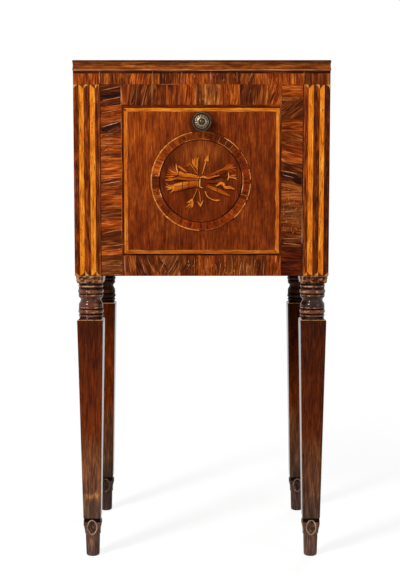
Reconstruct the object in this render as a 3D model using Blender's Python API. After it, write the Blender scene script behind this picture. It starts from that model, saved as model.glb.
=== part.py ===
# Neoclassical bedside cabinet: fall-front flap, inlaid pilasters, four turned and tapered legs.
# Metres, +Z up, front towards -Y, origin on the floor under the middle of the outer box.

import math

import bmesh
import bpy
from mathutils import Matrix, Vector

# Fits
GLUE_GAP = 0.0003
RUNNING_GAP = 0.0003

# Heights, stacked from the floor
LEG_HEIGHT = 0.462
LOWER_RAIL_HEIGHT = 0.034
OPENING_HEIGHT = 0.232
UPPER_RAIL_HEIGHT = 0.035
FRIEZE_HEIGHT = 0.021
TOP_THICKNESS = 0.016

# Widths across the front, and the depth
OPENING_WIDTH = 0.248
STILE_WIDTH = 0.036
POST_SIZE = 0.04125
CASE_DEPTH = 0.310

# Case boards
FRAME_THICKNESS = 0.016
SIDE_THICKNESS = 0.014
BACK_THICKNESS = 0.010
BACK_INSET = 0.003
FLOOR_THICKNESS = 0.012
FLOOR_DROP = 0.0015
TONGUE_THICKNESS = 0.006
TONGUE_LENGTH = 0.006
RAIL_TENON_LENGTH = 0.015
BLOCK_SIZE = 0.015
GLUE_BLOCK_LENGTH = 0.050

# Moulded edge of the top
TOP_OVERHANG = 0.0015
LIP_WIDTH = 0.012
LIP_BEAD_HEIGHT = 0.0032
LIP_FILLET_HEIGHT = 0.0030
LIP_HOLLOW_DEPTH = 0.0012
LIP_BEAD_STEPS = 4

# Inlays
INLAY_THICKNESS = 0.0012
FLUTE_WIDTH = 0.0081
FLUTE_OUTER_OFFSET = 0.0092
FLUTE_INNER_OFFSET = 0.0267
FLUTE_TOP_MARGIN = 0.006
FLUTE_BOTTOM_MARGIN = 0.004
FLUTE_ARCH_RISE = 0.006
ARCH_STEPS = 4
STRINGING_WIDTH = 0.0063
MEDALLION_KNOB_GAP = 0.0115
RING_WIDTH = 0.013
RING_LINE_WIDTH = 0.0015
RING_SEGMENTS = 40

# Flap and its pivots
FLAP_THICKNESS = 0.016
FLAP_GAP = 0.0015
PIVOT_SETBACK = 0.005
PIVOT_RISE = 0.016
PIN_RADIUS = 0.002
PIN_IN_FLAP = 0.014
PIN_IN_STILE = 0.007
PIN_END_PLAY = 0.0005
PLATE_THICKNESS = 0.002
PLATE_WIDTH = 0.007
PLATE_HEIGHT = 0.024
STOP_OVERLAP = 0.008
STOP_THICKNESS = 0.012

# Knob and turning latch
KNOB_DROP = 0.0225
KNOB_RADIUS = 0.015
KNOB_BACK_RADIUS = 0.0105
KNOB_RIM_RADIUS = 0.0135
KNOB_GROOVE_RADIUS = 0.0117
KNOB_ROSETTE_RADIUS = 0.009
KNOB_DISC_HEIGHT = 0.0075
KNOB_RIM_BEVEL = 0.0025
KNOB_GROOVE_DEPTH = 0.001
KNOB_BOSS_RADIUS = 0.005
KNOB_BOSS_HEIGHT = 0.002
KNOB_NECK_RADIUS = 0.0055
KNOB_NECK_LENGTH = 0.012
KNOB_SOCKET_DEPTH = 0.008
ROSE_RADIUS = 0.010
ROSE_THICKNESS = 0.002
SPINDLE_RADIUS = 0.003
LATCH_GAP = 0.0005
LATCH_THICKNESS = 0.003
LATCH_WIDTH = 0.012
LATCH_LAP = 0.012
LATCH_TAIL = 0.008
NUT_RADIUS = 0.005
NUT_LENGTH = 0.004
NUT_CHAMFER = 0.001
NUT_SOCKET_DEPTH = 0.003
KEEPER_THICKNESS = 0.0015
KEEPER_WIDTH = 0.030
KEEPER_HEIGHT = 0.012
KEEPER_RISE = 0.002

# Legs, with the turned members listed from the tapered shaft upwards
LEG_BLOCK_SIZE = 0.043
LEG_BLOCK_HEIGHT = 0.013
LEG_BLOCK_ROUNDING = 0.003
LEG_INSET = 0.001
SHAFT_TOP_SIZE = 0.0416
SHAFT_BOTTOM_SIZE = 0.0286
SHAFT_ROUNDING = 0.0015
FOOT_BLOCK_HEIGHT = 0.027
FOOT_BLOCK_SIZE = 0.0282
FOOT_NECK_SIZE = 0.0262
FOOT_NECK_HEIGHT = 0.0035
FOOT_ROUNDING = 0.004
TOE_HEIGHT = 0.038
TOE_TOP_RADIUS = 0.0128
TOE_RADIUS = 0.0113
TOE_EDGE = 0.0022
LEG_TENON_RADIUS = 0.011
LEG_TENON_LENGTH = 0.030
TURNED_MEMBERS = (
    ("groove", 0.0040, 0.0168),
    ("bead", 0.0040, 0.0184),
    ("groove", 0.0020, 0.0172),
    ("bead", 0.0060, 0.0191),
    ("groove", 0.0015, 0.0166),
    ("bead", 0.0025, 0.0172),
    ("cove", 0.0160, 0.0137),
    ("bead", 0.0030, 0.0183),
    ("groove", 0.0020, 0.0174),
    ("bead", 0.0055, 0.0193),
    ("groove", 0.0020, 0.0179),
    ("bead", 0.0045, 0.0199),
    ("groove", 0.0040, 0.0186),
)
COVE_SHOULDER = 0.0026
COVE_STEPS = 4
LEG_SIDES = 16
PIN_SIDES = 16
KNOB_SIDES = 24

# Levels and planes worked out from the sizes above
CASE_WIDTH = OPENING_WIDTH + 2 * (STILE_WIDTH + POST_SIZE)
HALF_WIDTH = CASE_WIDTH / 2
HALF_OPENING = OPENING_WIDTH / 2
POST_FACE_X = HALF_OPENING + STILE_WIDTH
CASE_BOTTOM = LEG_HEIGHT
OPENING_BOTTOM = CASE_BOTTOM + LOWER_RAIL_HEIGHT
OPENING_TOP = OPENING_BOTTOM + OPENING_HEIGHT
FRIEZE_BOTTOM = OPENING_TOP + UPPER_RAIL_HEIGHT
CASE_TOP = FRIEZE_BOTTOM + FRIEZE_HEIGHT
HEIGHT = CASE_TOP + TOP_THICKNESS
KNOB_REACH = (ROSE_THICKNESS + 2 * GLUE_GAP + KNOB_NECK_LENGTH
              + KNOB_DISC_HEIGHT + KNOB_BOSS_HEIGHT)
FRONT = (KNOB_REACH - CASE_DEPTH) / 2
BACK = FRONT + CASE_DEPTH
FRAME_BACK = FRONT + FRAME_THICKNESS
BACK_PANEL_FACE = BACK - BACK_INSET - BACK_THICKNESS
FLAP_BACK = FRONT + FLAP_THICKNESS
FLAP_HALF_WIDTH = HALF_OPENING - FLAP_GAP
FLAP_BOTTOM = OPENING_BOTTOM + FLAP_GAP
FLAP_TOP = OPENING_TOP - FLAP_GAP
FLAP_MIDDLE = (FLAP_BOTTOM + FLAP_TOP) / 2
PIVOT_Y = FRONT + PIVOT_SETBACK
PIVOT_Z = FLAP_BOTTOM + PIVOT_RISE
KNOB_Z = FLAP_TOP - KNOB_DROP
LINE_RADIUS = KNOB_Z - FLAP_MIDDLE - MEDALLION_KNOB_GAP
RING_OUTER_RADIUS = LINE_RADIUS - RING_LINE_WIDTH
RING_INNER_RADIUS = RING_OUTER_RADIUS - RING_WIDTH
LATCH_FACE = max(FRAME_BACK, FLAP_BACK) + LATCH_GAP
LEG_X = HALF_WIDTH - LEG_INSET - LEG_BLOCK_SIZE / 2
LEG_SETBACK = LEG_INSET + LEG_BLOCK_SIZE / 2
TURNED_HEIGHT = sum(member[1] for member in TURNED_MEMBERS)
SHAFT_BOTTOM = TOE_HEIGHT + FOOT_BLOCK_HEIGHT
SHAFT_TOP = LEG_HEIGHT - LEG_BLOCK_HEIGHT - TURNED_HEIGHT

SIDES = (("left", -1), ("right", 1))


def polygon_radius(clear_radius, sides):
    # Corner radius of a regular polygon whose flats lie at clear_radius.
    return clear_radius / math.cos(math.pi / sides)


# Materials

def make_material(name, colour, roughness, metallic=0.0):
    material = bpy.data.materials.new(name)
    material.use_nodes = True
    shader = material.node_tree.nodes["Principled BSDF"]
    shader.inputs["Base Color"].default_value = (*colour, 1.0)
    shader.inputs["Roughness"].default_value = roughness
    shader.inputs["Metallic"].default_value = metallic
    return material


def make_materials():
    return {
        "veneer": make_material("rosewood_veneer", (0.22, 0.06, 0.02), 0.40),
        "crossband": make_material("crossbanded_walnut", (0.17, 0.055, 0.022), 0.40),
        "inlay": make_material("boxwood_inlay", (0.72, 0.30, 0.05), 0.42),
        "leg": make_material("dark_walnut", (0.075, 0.022, 0.010), 0.45),
        "core": make_material("old_softwood", (0.33, 0.19, 0.09), 0.70),
        "brass": make_material("aged_brass", (0.42, 0.29, 0.11), 0.42, 1.0),
        "bronze": make_material("dark_bronze", (0.10, 0.085, 0.065), 0.45, 1.0),
        "steel": make_material("dull_steel", (0.28, 0.27, 0.26), 0.50, 1.0),
    }


# Mesh makers, all in world coordinates

def add_extrusion(bm, outline, axis, start, end):
    # Outline points are (x, y) for axis Z and (x, z) for axis Y.
    def point(first, second, level):
        return (first, second, level) if axis == "Z" else (first, level, second)

    lower = [bm.verts.new(point(a, b, start)) for a, b in outline]
    upper = [bm.verts.new(point(a, b, end)) for a, b in outline]
    bm.faces.new(lower)
    bm.faces.new(upper)
    for index in range(len(outline)):
        following = (index + 1) % len(outline)
        bm.faces.new((lower[index], lower[following], upper[following], upper[index]))


def add_box(bm, low, high):
    outline = ((low[0], low[1]), (high[0], low[1]), (high[0], high[1]), (low[0], high[1]))
    add_extrusion(bm, outline, "Z", low[2], high[2])


def add_loft(bm, rings):
    loops = [[bm.verts.new(point) for point in ring] for ring in rings]
    bm.faces.new(loops[0])
    bm.faces.new(loops[-1])
    for lower, upper in zip(loops, loops[1:]):
        for index in range(len(lower)):
            following = (index + 1) % len(lower)
            bm.faces.new((lower[index], lower[following], upper[following], upper[index]))


def add_turning(bm, profile, centre, axis, sides, closed_profile=False):
    # Profile points are (radius, distance along the axis); a zero radius closes the end.
    turn = Vector((0, 0, 1)).rotation_difference(Vector(axis)).to_matrix()
    loops = []
    for radius, along in profile:
        if radius == 0:
            loops.append([bm.verts.new(Vector(centre) + turn @ Vector((0, 0, along)))])
            continue
        loop = []
        for index in range(sides):
            angle = 2 * math.pi * index / sides
            local = Vector((radius * math.cos(angle), radius * math.sin(angle), along))
            loop.append(bm.verts.new(Vector(centre) + turn @ local))
        loops.append(loop)
    pairs = list(zip(loops, loops[1:]))
    if closed_profile:
        pairs.append((loops[-1], loops[0]))
    for lower, upper in pairs:
        for index in range(sides):
            following = (index + 1) % sides
            if len(lower) == 1:
                bm.faces.new((lower[0], upper[index], upper[following]))
            elif len(upper) == 1:
                bm.faces.new((lower[index], lower[following], upper[0]))
            else:
                bm.faces.new((lower[index], lower[following], upper[following], upper[index]))


def add_rod(bm, centre, axis, radius, start, end, sides):
    profile = ((0, start), (radius, start), (radius, end), (0, end))
    add_turning(bm, profile, centre, axis, sides)


def finish_object(name, bm, material, origin, parent=None, smooth=False):
    bmesh.ops.recalc_face_normals(bm, faces=bm.faces)
    bmesh.ops.translate(bm, verts=bm.verts, vec=-Vector(origin))
    mesh = bpy.data.meshes.new(name)
    bm.to_mesh(mesh)
    bm.free()
    if smooth:
        mesh.shade_smooth()
        mesh.set_sharp_from_angle(angle=math.radians(35))
    if material:
        mesh.materials.append(material)
    piece = bpy.data.objects.new(name, mesh)
    bpy.context.scene.collection.objects.link(piece)
    piece.location = origin
    if parent:
        piece.parent = parent
        piece.location = Vector(origin) - parent_place(parent)
    return piece


def parent_place(empty):
    place = empty.location.copy()
    if empty.parent:
        place += parent_place(empty.parent)
    return place


def cut_away(piece, name, bm):
    cutter = finish_object(name, bm, None, parent_place(piece), piece.parent)
    cutter.hide_render = True
    cutter.display_type = "WIRE"
    modifier = piece.modifiers.new(name, "BOOLEAN")
    modifier.operation = "DIFFERENCE"
    modifier.object = cutter


def make_box(name, low, high, material, parent=None):
    bm = bmesh.new()
    add_box(bm, low, high)
    middle = [(a + b) / 2 for a, b in zip(low, high)]
    return finish_object(name, bm, material, middle, parent)


def make_empty(name, place, parent=None):
    empty = bpy.data.objects.new(name, None)
    bpy.context.scene.collection.objects.link(empty)
    empty.location = place
    if parent:
        empty.parent = parent
        empty.location = Vector(place) - parent_place(parent)
    return empty


# Top: a plain board framed on three sides by a moulded lip

def lip_profile():
    # Points are (distance out from the lip's inner edge, height above the case).
    outer = LIP_WIDTH
    hollow = LIP_WIDTH - LIP_HOLLOW_DEPTH
    bead_radius = LIP_BEAD_HEIGHT / 2
    fillet_bottom = TOP_THICKNESS - LIP_FILLET_HEIGHT
    points = [(0, 0), (outer - bead_radius, 0)]
    for step in range(1, LIP_BEAD_STEPS):
        angle = math.pi * (step / LIP_BEAD_STEPS - 0.5)
        points.append((outer - bead_radius + bead_radius * math.cos(angle),
                       bead_radius + bead_radius * math.sin(angle)))
    points += [(outer - bead_radius, LIP_BEAD_HEIGHT), (hollow, LIP_BEAD_HEIGHT),
               (hollow, fillet_bottom), (outer, fillet_bottom),
               (outer, TOP_THICKNESS), (0, TOP_THICKNESS)]
    return points


def build_top(materials):
    edge_x = HALF_WIDTH + TOP_OVERHANG - LIP_WIDTH
    edge_y = FRONT - TOP_OVERHANG + LIP_WIDTH
    make_box("top_board",
             (-edge_x + GLUE_GAP, edge_y + GLUE_GAP, CASE_TOP),
             (edge_x - GLUE_GAP, BACK, HEIGHT), materials["veneer"])

    bm = bmesh.new()
    ends = []
    for sign in (-1, 1):
        ends.append([(sign * (edge_x + out - GLUE_GAP), edge_y - out, CASE_TOP + up)
                     for out, up in lip_profile()])
    add_loft(bm, ends)
    finish_object("top_lip_front", bm, materials["crossband"], (0, edge_y, CASE_TOP))

    for side, sign in SIDES:
        bm = bmesh.new()
        mitre = [(sign * (edge_x + out), edge_y - out + GLUE_GAP, CASE_TOP + up)
                 for out, up in lip_profile()]
        square = [(sign * (edge_x + out), BACK, CASE_TOP + up) for out, up in lip_profile()]
        add_loft(bm, (mitre, square))
        finish_object("top_lip_" + side, bm, materials["crossband"],
                      (sign * edge_x, 0, CASE_TOP))


# Case: grooved corner posts with tongued rails, stiles and panels between them

def post_outline(groove_middle):
    # Points run inwards from the post's two outer faces: (across, deep).
    depth = TONGUE_LENGTH + GLUE_GAP
    half = TONGUE_THICKNESS / 2 + GLUE_GAP
    side_middle = SIDE_THICKNESS / 2
    inner = POST_SIZE
    return [(0, 0), (inner, 0),
            (inner, groove_middle - half), (inner - depth, groove_middle - half),
            (inner - depth, groove_middle + half), (inner, groove_middle + half),
            (inner, inner),
            (side_middle + half, inner), (side_middle + half, inner - depth),
            (side_middle - half, inner - depth), (side_middle - half, inner),
            (0, inner)]


def flute_spans():
    # Outer and inner edge of each light flute strip, by name.
    spans = {}
    for side, sign in SIDES:
        for name, offset in (("outer", FLUTE_OUTER_OFFSET), ("inner", FLUTE_INNER_OFFSET)):
            edge = HALF_WIDTH - offset
            spans[f"{side}_{name}"] = (sign * edge, sign * (edge - FLUTE_WIDTH))
    return spans


def flute_outline(apex, base, margin):
    # A strip whose ends rise in a half arch towards its outer edge.
    low = CASE_BOTTOM + FLUTE_BOTTOM_MARGIN
    high = FRIEZE_BOTTOM - FLUTE_TOP_MARGIN
    points = []
    for step in range(ARCH_STEPS + 1):
        angle = math.pi / 2 * step / ARCH_STEPS
        points.append((apex + (base - apex) * math.sin(angle),
                       low + FLUTE_ARCH_RISE * (1 - math.cos(angle))))
    for step in range(ARCH_STEPS, -1, -1):
        angle = math.pi / 2 * step / ARCH_STEPS
        points.append((apex + (base - apex) * math.sin(angle),
                       high - FLUTE_ARCH_RISE * (1 - math.cos(angle))))
    middle = Vector(((apex + base) / 2, (low + high) / 2))
    grow = Vector((1 + margin / (FLUTE_WIDTH / 2), 1 + margin / ((high - low) / 2)))
    return [(middle.x + (x - middle.x) * grow.x, middle.y + (z - middle.y) * grow.y)
            for x, z in points]


def build_posts(materials):
    spans = flute_spans()
    for end, face, inward, groove in (
            ("front", FRONT, 1, FRAME_THICKNESS / 2),
            ("back", BACK, -1, BACK_INSET + BACK_THICKNESS / 2)):
        for side, sign in SIDES:
            name = f"post_{end}_{side}"
            outline = [(sign * (HALF_WIDTH - across), face + inward * deep)
                       for across, deep in post_outline(groove)]
            bm = bmesh.new()
            add_extrusion(bm, outline, "Z", CASE_BOTTOM, CASE_TOP - GLUE_GAP)
            post = finish_object(name, bm, materials["veneer"],
                                 (sign * LEG_X, face + inward * LEG_SETBACK, CASE_BOTTOM))
            bm = bmesh.new()
            socket = polygon_radius(LEG_TENON_RADIUS + GLUE_GAP, LEG_SIDES)
            add_rod(bm, (sign * LEG_X, face + inward * LEG_SETBACK, CASE_BOTTOM), (0, 0, 1),
                    socket, -GLUE_GAP, LEG_TENON_LENGTH + GLUE_GAP, LEG_SIDES)
            if end == "front":
                for flute in ("outer", "inner"):
                    apex, base = spans[f"{side}_{flute}"]
                    add_extrusion(bm, flute_outline(apex, base, GLUE_GAP), "Y",
                                  FRONT - GLUE_GAP, FRONT + INLAY_THICKNESS + GLUE_GAP)
            cut_away(post, "cut_" + name, bm)


def build_flutes(materials):
    for name, (apex, base) in flute_spans().items():
        bm = bmesh.new()
        add_extrusion(bm, flute_outline(apex, base, 0), "Y", FRONT, FRONT + INLAY_THICKNESS)
        finish_object("flute_" + name, bm, materials["inlay"],
                      ((apex + base) / 2, FRONT, CASE_BOTTOM))


def tongued_outline(start, end, face, thickness):
    # A board between start and end with a tongue on both ends: (along, across).
    middle = face + thickness / 2
    half = math.copysign(TONGUE_THICKNESS / 2, thickness)
    near = start + GLUE_GAP
    far = end - GLUE_GAP
    near_tip = start - TONGUE_LENGTH
    far_tip = end + TONGUE_LENGTH
    return [(near, face), (far, face), (far, middle - half), (far_tip, middle - half),
            (far_tip, middle + half), (far, middle + half), (far, face + thickness),
            (near, face + thickness), (near, middle + half), (near_tip, middle + half),
            (near_tip, middle - half), (near, middle - half)]


def build_panels(materials):
    top = CASE_TOP - GLUE_GAP
    for side, sign in SIDES:
        outline = tongued_outline(FRONT + POST_SIZE, BACK - POST_SIZE,
                                  sign * HALF_WIDTH, -sign * SIDE_THICKNESS)
        bm = bmesh.new()
        add_extrusion(bm, [(x, y) for y, x in outline], "Z", CASE_BOTTOM, top)
        finish_object("side_panel_" + side, bm, materials["veneer"],
                      (sign * HALF_WIDTH, 0, CASE_BOTTOM))

    outline = tongued_outline(-POST_FACE_X, POST_FACE_X, BACK - BACK_INSET, -BACK_THICKNESS)
    bm = bmesh.new()
    add_extrusion(bm, outline, "Z", CASE_BOTTOM, top)
    finish_object("back_panel", bm, materials["core"], (0, BACK, CASE_BOTTOM))

    outline = tongued_outline(-POST_FACE_X, POST_FACE_X, FRONT, FRAME_THICKNESS)
    bm = bmesh.new()
    add_extrusion(bm, outline, "Z", FRIEZE_BOTTOM + GLUE_GAP, top)
    finish_object("frieze_rail", bm, materials["crossband"], (0, FRONT, FRIEZE_BOTTOM))


def stile_outline(sign):
    middle = FRONT + FRAME_THICKNESS / 2
    half = TONGUE_THICKNESS / 2
    shoulder = POST_FACE_X - GLUE_GAP
    tip = POST_FACE_X + TONGUE_LENGTH
    points = [(HALF_OPENING, FRONT), (shoulder, FRONT), (shoulder, middle - half),
              (tip, middle - half), (tip, middle + half), (shoulder, middle + half),
              (shoulder, FRAME_BACK), (HALF_OPENING, FRAME_BACK)]
    return [(sign * x, y) for x, y in points]


def rail_outline():
    middle = FRONT + FRAME_THICKNESS / 2
    half = TONGUE_THICKNESS / 2
    shoulder = HALF_OPENING - GLUE_GAP
    tip = HALF_OPENING + RAIL_TENON_LENGTH
    right = [(shoulder, FRONT), (shoulder, middle - half), (tip, middle - half),
             (tip, middle + half), (shoulder, middle + half), (shoulder, FRAME_BACK)]
    left = [(-x, y) for x, y in reversed(right)]
    return right + left


def build_front_frame(materials):
    rails = (("lower", CASE_BOTTOM, OPENING_BOTTOM), ("upper", OPENING_TOP, FRIEZE_BOTTOM))
    middle = FRONT + FRAME_THICKNESS / 2
    half = TONGUE_THICKNESS / 2 + GLUE_GAP
    for side, sign in SIDES:
        name = "front_stile_" + side
        bm = bmesh.new()
        add_extrusion(bm, stile_outline(sign), "Z", CASE_BOTTOM, FRIEZE_BOTTOM)
        stile = finish_object(name, bm, materials["crossband"],
                              (sign * HALF_OPENING, FRONT, CASE_BOTTOM))
        xs = sorted((sign * (HALF_OPENING - GLUE_GAP),
                     sign * (HALF_OPENING + RAIL_TENON_LENGTH + GLUE_GAP)))
        bm = bmesh.new()
        for _, low, high in rails:
            add_box(bm, (xs[0], middle - half, low - GLUE_GAP),
                    (xs[1], middle + half, high + GLUE_GAP))
        cut_away(stile, "cut_mortise_" + side, bm)

        bm = bmesh.new()
        add_pivot_plate(bm, sign, GLUE_GAP)
        cut_away(stile, "cut_plate_" + side, bm)

        bm = bmesh.new()
        bore = polygon_radius(PIN_RADIUS + RUNNING_GAP, PIN_SIDES)
        add_rod(bm, (sign * HALF_OPENING, PIVOT_Y, PIVOT_Z), (sign, 0, 0), bore,
                -GLUE_GAP, PIN_IN_STILE + PIN_END_PLAY, PIN_SIDES)
        cut_away(stile, "cut_pin_" + side, bm)

    for name, low, high in rails:
        bm = bmesh.new()
        add_extrusion(bm, rail_outline(), "Z", low, high)
        rail = finish_object("front_rail_" + name, bm, materials["crossband"], (0, FRONT, low))
        if name == "upper":
            bm = bmesh.new()
            low_corner, high_corner = keeper_corners(GLUE_GAP)
            add_box(bm, low_corner, high_corner)
            cut_away(rail, "cut_keeper", bm)


def keeper_corners(margin):
    low = OPENING_TOP + KEEPER_RISE
    return ((-KEEPER_WIDTH / 2 - margin, FRAME_BACK - KEEPER_THICKNESS - margin, low - margin),
            (KEEPER_WIDTH / 2 + margin, FRAME_BACK + margin, low + KEEPER_HEIGHT + margin))


def add_pivot_plate(bm, sign, margin):
    # The plate lies in the stile's inner edge, flush with it.
    half_width = PLATE_WIDTH / 2 + margin
    half_height = PLATE_HEIGHT / 2 + margin
    xs = sorted((sign * (HALF_OPENING - margin), sign * (HALF_OPENING + PLATE_THICKNESS + margin)))
    add_box(bm, (xs[0], PIVOT_Y - half_width, PIVOT_Z - half_height),
            (xs[1], PIVOT_Y + half_width, PIVOT_Z + half_height))


def build_case_fittings(materials):
    inner_x = HALF_WIDTH - SIDE_THICKNESS - GLUE_GAP
    floor_top = OPENING_BOTTOM - FLOOR_DROP
    floor_bottom = floor_top - FLOOR_THICKNESS
    front = FRAME_BACK + GLUE_GAP
    back = BACK_PANEL_FACE - GLUE_GAP
    notch_x = POST_FACE_X - GLUE_GAP
    notch_front = FRONT + POST_SIZE + GLUE_GAP
    notch_back = BACK - POST_SIZE - GLUE_GAP
    right = [(notch_x, front), (notch_x, notch_front), (inner_x, notch_front),
             (inner_x, notch_back), (notch_x, notch_back), (notch_x, back)]
    outline = right + [(-x, y) for x, y in reversed(right)]
    bm = bmesh.new()
    add_extrusion(bm, outline, "Z", floor_bottom, floor_top)
    finish_object("floor_board", bm, materials["core"], (0, 0, floor_bottom))

    for side, sign in SIDES:
        xs = sorted((sign * (inner_x - BLOCK_SIZE), sign * inner_x))
        cleat_top = floor_bottom - GLUE_GAP
        make_box("floor_cleat_" + side,
                 (xs[0], notch_front, cleat_top - BLOCK_SIZE),
                 (xs[1], notch_back, cleat_top), materials["core"])
        block_top = CASE_TOP - GLUE_GAP
        for end, start in (("front", notch_front), ("back", notch_back - GLUE_BLOCK_LENGTH)):
            make_box(f"glue_block_{end}_{side}",
                     (xs[0], start, block_top - BLOCK_SIZE),
                     (xs[1], start + GLUE_BLOCK_LENGTH, block_top), materials["core"])
        xs = sorted((sign * (HALF_OPENING - STOP_OVERLAP), sign * notch_x))
        stop_bottom = PIVOT_Z + FLAP_THICKNESS - PIVOT_SETBACK + RUNNING_GAP
        make_box("stop_strip_" + side,
                 (xs[0], max(front, FLAP_BACK + RUNNING_GAP), stop_bottom),
                 (xs[1], front + STOP_THICKNESS, OPENING_TOP), materials["core"])

        bm = bmesh.new()
        add_pivot_plate(bm, sign, 0)
        plate = finish_object("pivot_plate_" + side, bm, materials["brass"],
                              (sign * HALF_OPENING, PIVOT_Y, PIVOT_Z))
        bm = bmesh.new()
        bore = polygon_radius(PIN_RADIUS + RUNNING_GAP, PIN_SIDES)
        add_rod(bm, (sign * HALF_OPENING, PIVOT_Y, PIVOT_Z), (sign, 0, 0), bore,
                -GLUE_GAP, PLATE_THICKNESS + GLUE_GAP, PIN_SIDES)
        cut_away(plate, "cut_bush_" + side, bm)

    low, high = keeper_corners(0)
    make_box("latch_keeper", low, high, materials["brass"])


# Legs: block, turned neck, square tapered shaft, carved foot block and round toe

def leg_ring(x, y, z, half, rounding):
    # One ring of points round the leg; a rounding as large as the half size makes a circle.
    ring = []
    for index in range(LEG_SIDES):
        angle = 2 * math.pi * index / LEG_SIDES
        if rounding >= half:
            ring.append((x + half * math.cos(angle), y + half * math.sin(angle), z))
            continue
        quarter, step = divmod(index, LEG_SIDES // 4)
        bend = rounding * (1 - math.sqrt(0.5))
        local = ((half, 0), (half, half - rounding), (half - bend, half - bend),
                 (half - rounding, half))[step]
        turned = Matrix.Rotation(quarter * math.pi / 2, 2) @ Vector(local)
        ring.append((x + turned.x, y + turned.y, z))
    return ring


def turned_rings():
    # Pairs of (height above the shaft, radius) for the turned neck.
    rings = []
    level = 0.0
    for kind, height, radius in TURNED_MEMBERS:
        if kind == "groove":
            rings.append((level + height / 2, radius))
        elif kind == "bead":
            rings += [(level + height / 4, radius), (level + height * 3 / 4, radius)]
        else:
            for step in range(COVE_STEPS + 1):
                swell = math.cos(math.pi * step / COVE_STEPS) ** 2
                rings.append((level + height * step / COVE_STEPS, radius + COVE_SHOULDER * swell))
        level += height
    return rings


def leg_sections():
    # (height, half size, corner rounding) from the floor to the top of the tenon.
    shaft_foot = SHAFT_BOTTOM_SIZE / 2
    shaft_head = SHAFT_TOP_SIZE / 2
    foot_half = FOOT_BLOCK_SIZE / 2
    neck_half = FOOT_NECK_SIZE / 2
    block_half = LEG_BLOCK_SIZE / 2
    block_bottom = LEG_HEIGHT - LEG_BLOCK_HEIGHT
    block_top = LEG_HEIGHT - GLUE_GAP
    sections = [
        (0.0, TOE_RADIUS - TOE_EDGE, TOE_RADIUS),
        (TOE_EDGE, TOE_RADIUS, TOE_RADIUS),
        (TOE_HEIGHT / 2, (TOE_RADIUS + TOE_TOP_RADIUS) / 2, TOE_TOP_RADIUS),
        (TOE_HEIGHT, TOE_TOP_RADIUS, TOE_TOP_RADIUS),
        (TOE_HEIGHT + FOOT_BLOCK_HEIGHT / 2, foot_half, FOOT_ROUNDING),
        (SHAFT_BOTTOM - FOOT_NECK_HEIGHT, neck_half, FOOT_ROUNDING),
        (SHAFT_BOTTOM, neck_half, FOOT_ROUNDING),
        (SHAFT_BOTTOM, shaft_foot - SHAFT_ROUNDING, SHAFT_ROUNDING),
        (SHAFT_BOTTOM + SHAFT_ROUNDING, shaft_foot, SHAFT_ROUNDING),
        (SHAFT_TOP - SHAFT_ROUNDING, shaft_head, SHAFT_ROUNDING),
        (SHAFT_TOP, shaft_head - SHAFT_ROUNDING, SHAFT_ROUNDING),
    ]
    for height, radius in turned_rings():
        sections.append((SHAFT_TOP + height, radius, radius))
    sections += [
        (block_bottom, block_half - LEG_BLOCK_ROUNDING, LEG_BLOCK_ROUNDING),
        (block_bottom + LEG_BLOCK_ROUNDING, block_half, LEG_BLOCK_ROUNDING),
        (block_top, block_half, LEG_BLOCK_ROUNDING),
        (block_top, LEG_TENON_RADIUS, LEG_TENON_RADIUS),
        (LEG_HEIGHT + LEG_TENON_LENGTH, LEG_TENON_RADIUS, LEG_TENON_RADIUS),
    ]
    return sections


def build_legs(materials):
    for end, y in (("front", FRONT + LEG_SETBACK), ("back", BACK - LEG_SETBACK)):
        for side, sign in SIDES:
            bm = bmesh.new()
            add_loft(bm, [leg_ring(sign * LEG_X, y, *section) for section in leg_sections()])
            finish_object(f"leg_{end}_{side}", bm, materials["leg"], (sign * LEG_X, y, 0),
                          smooth=True)


# Flap: a panel edged with light stringing, hung on two pins near its lower edge

def rectangle(half_width, low, high, y):
    return [(-half_width, y, low), (half_width, y, low), (half_width, y, high),
            (-half_width, y, high)]


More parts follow.
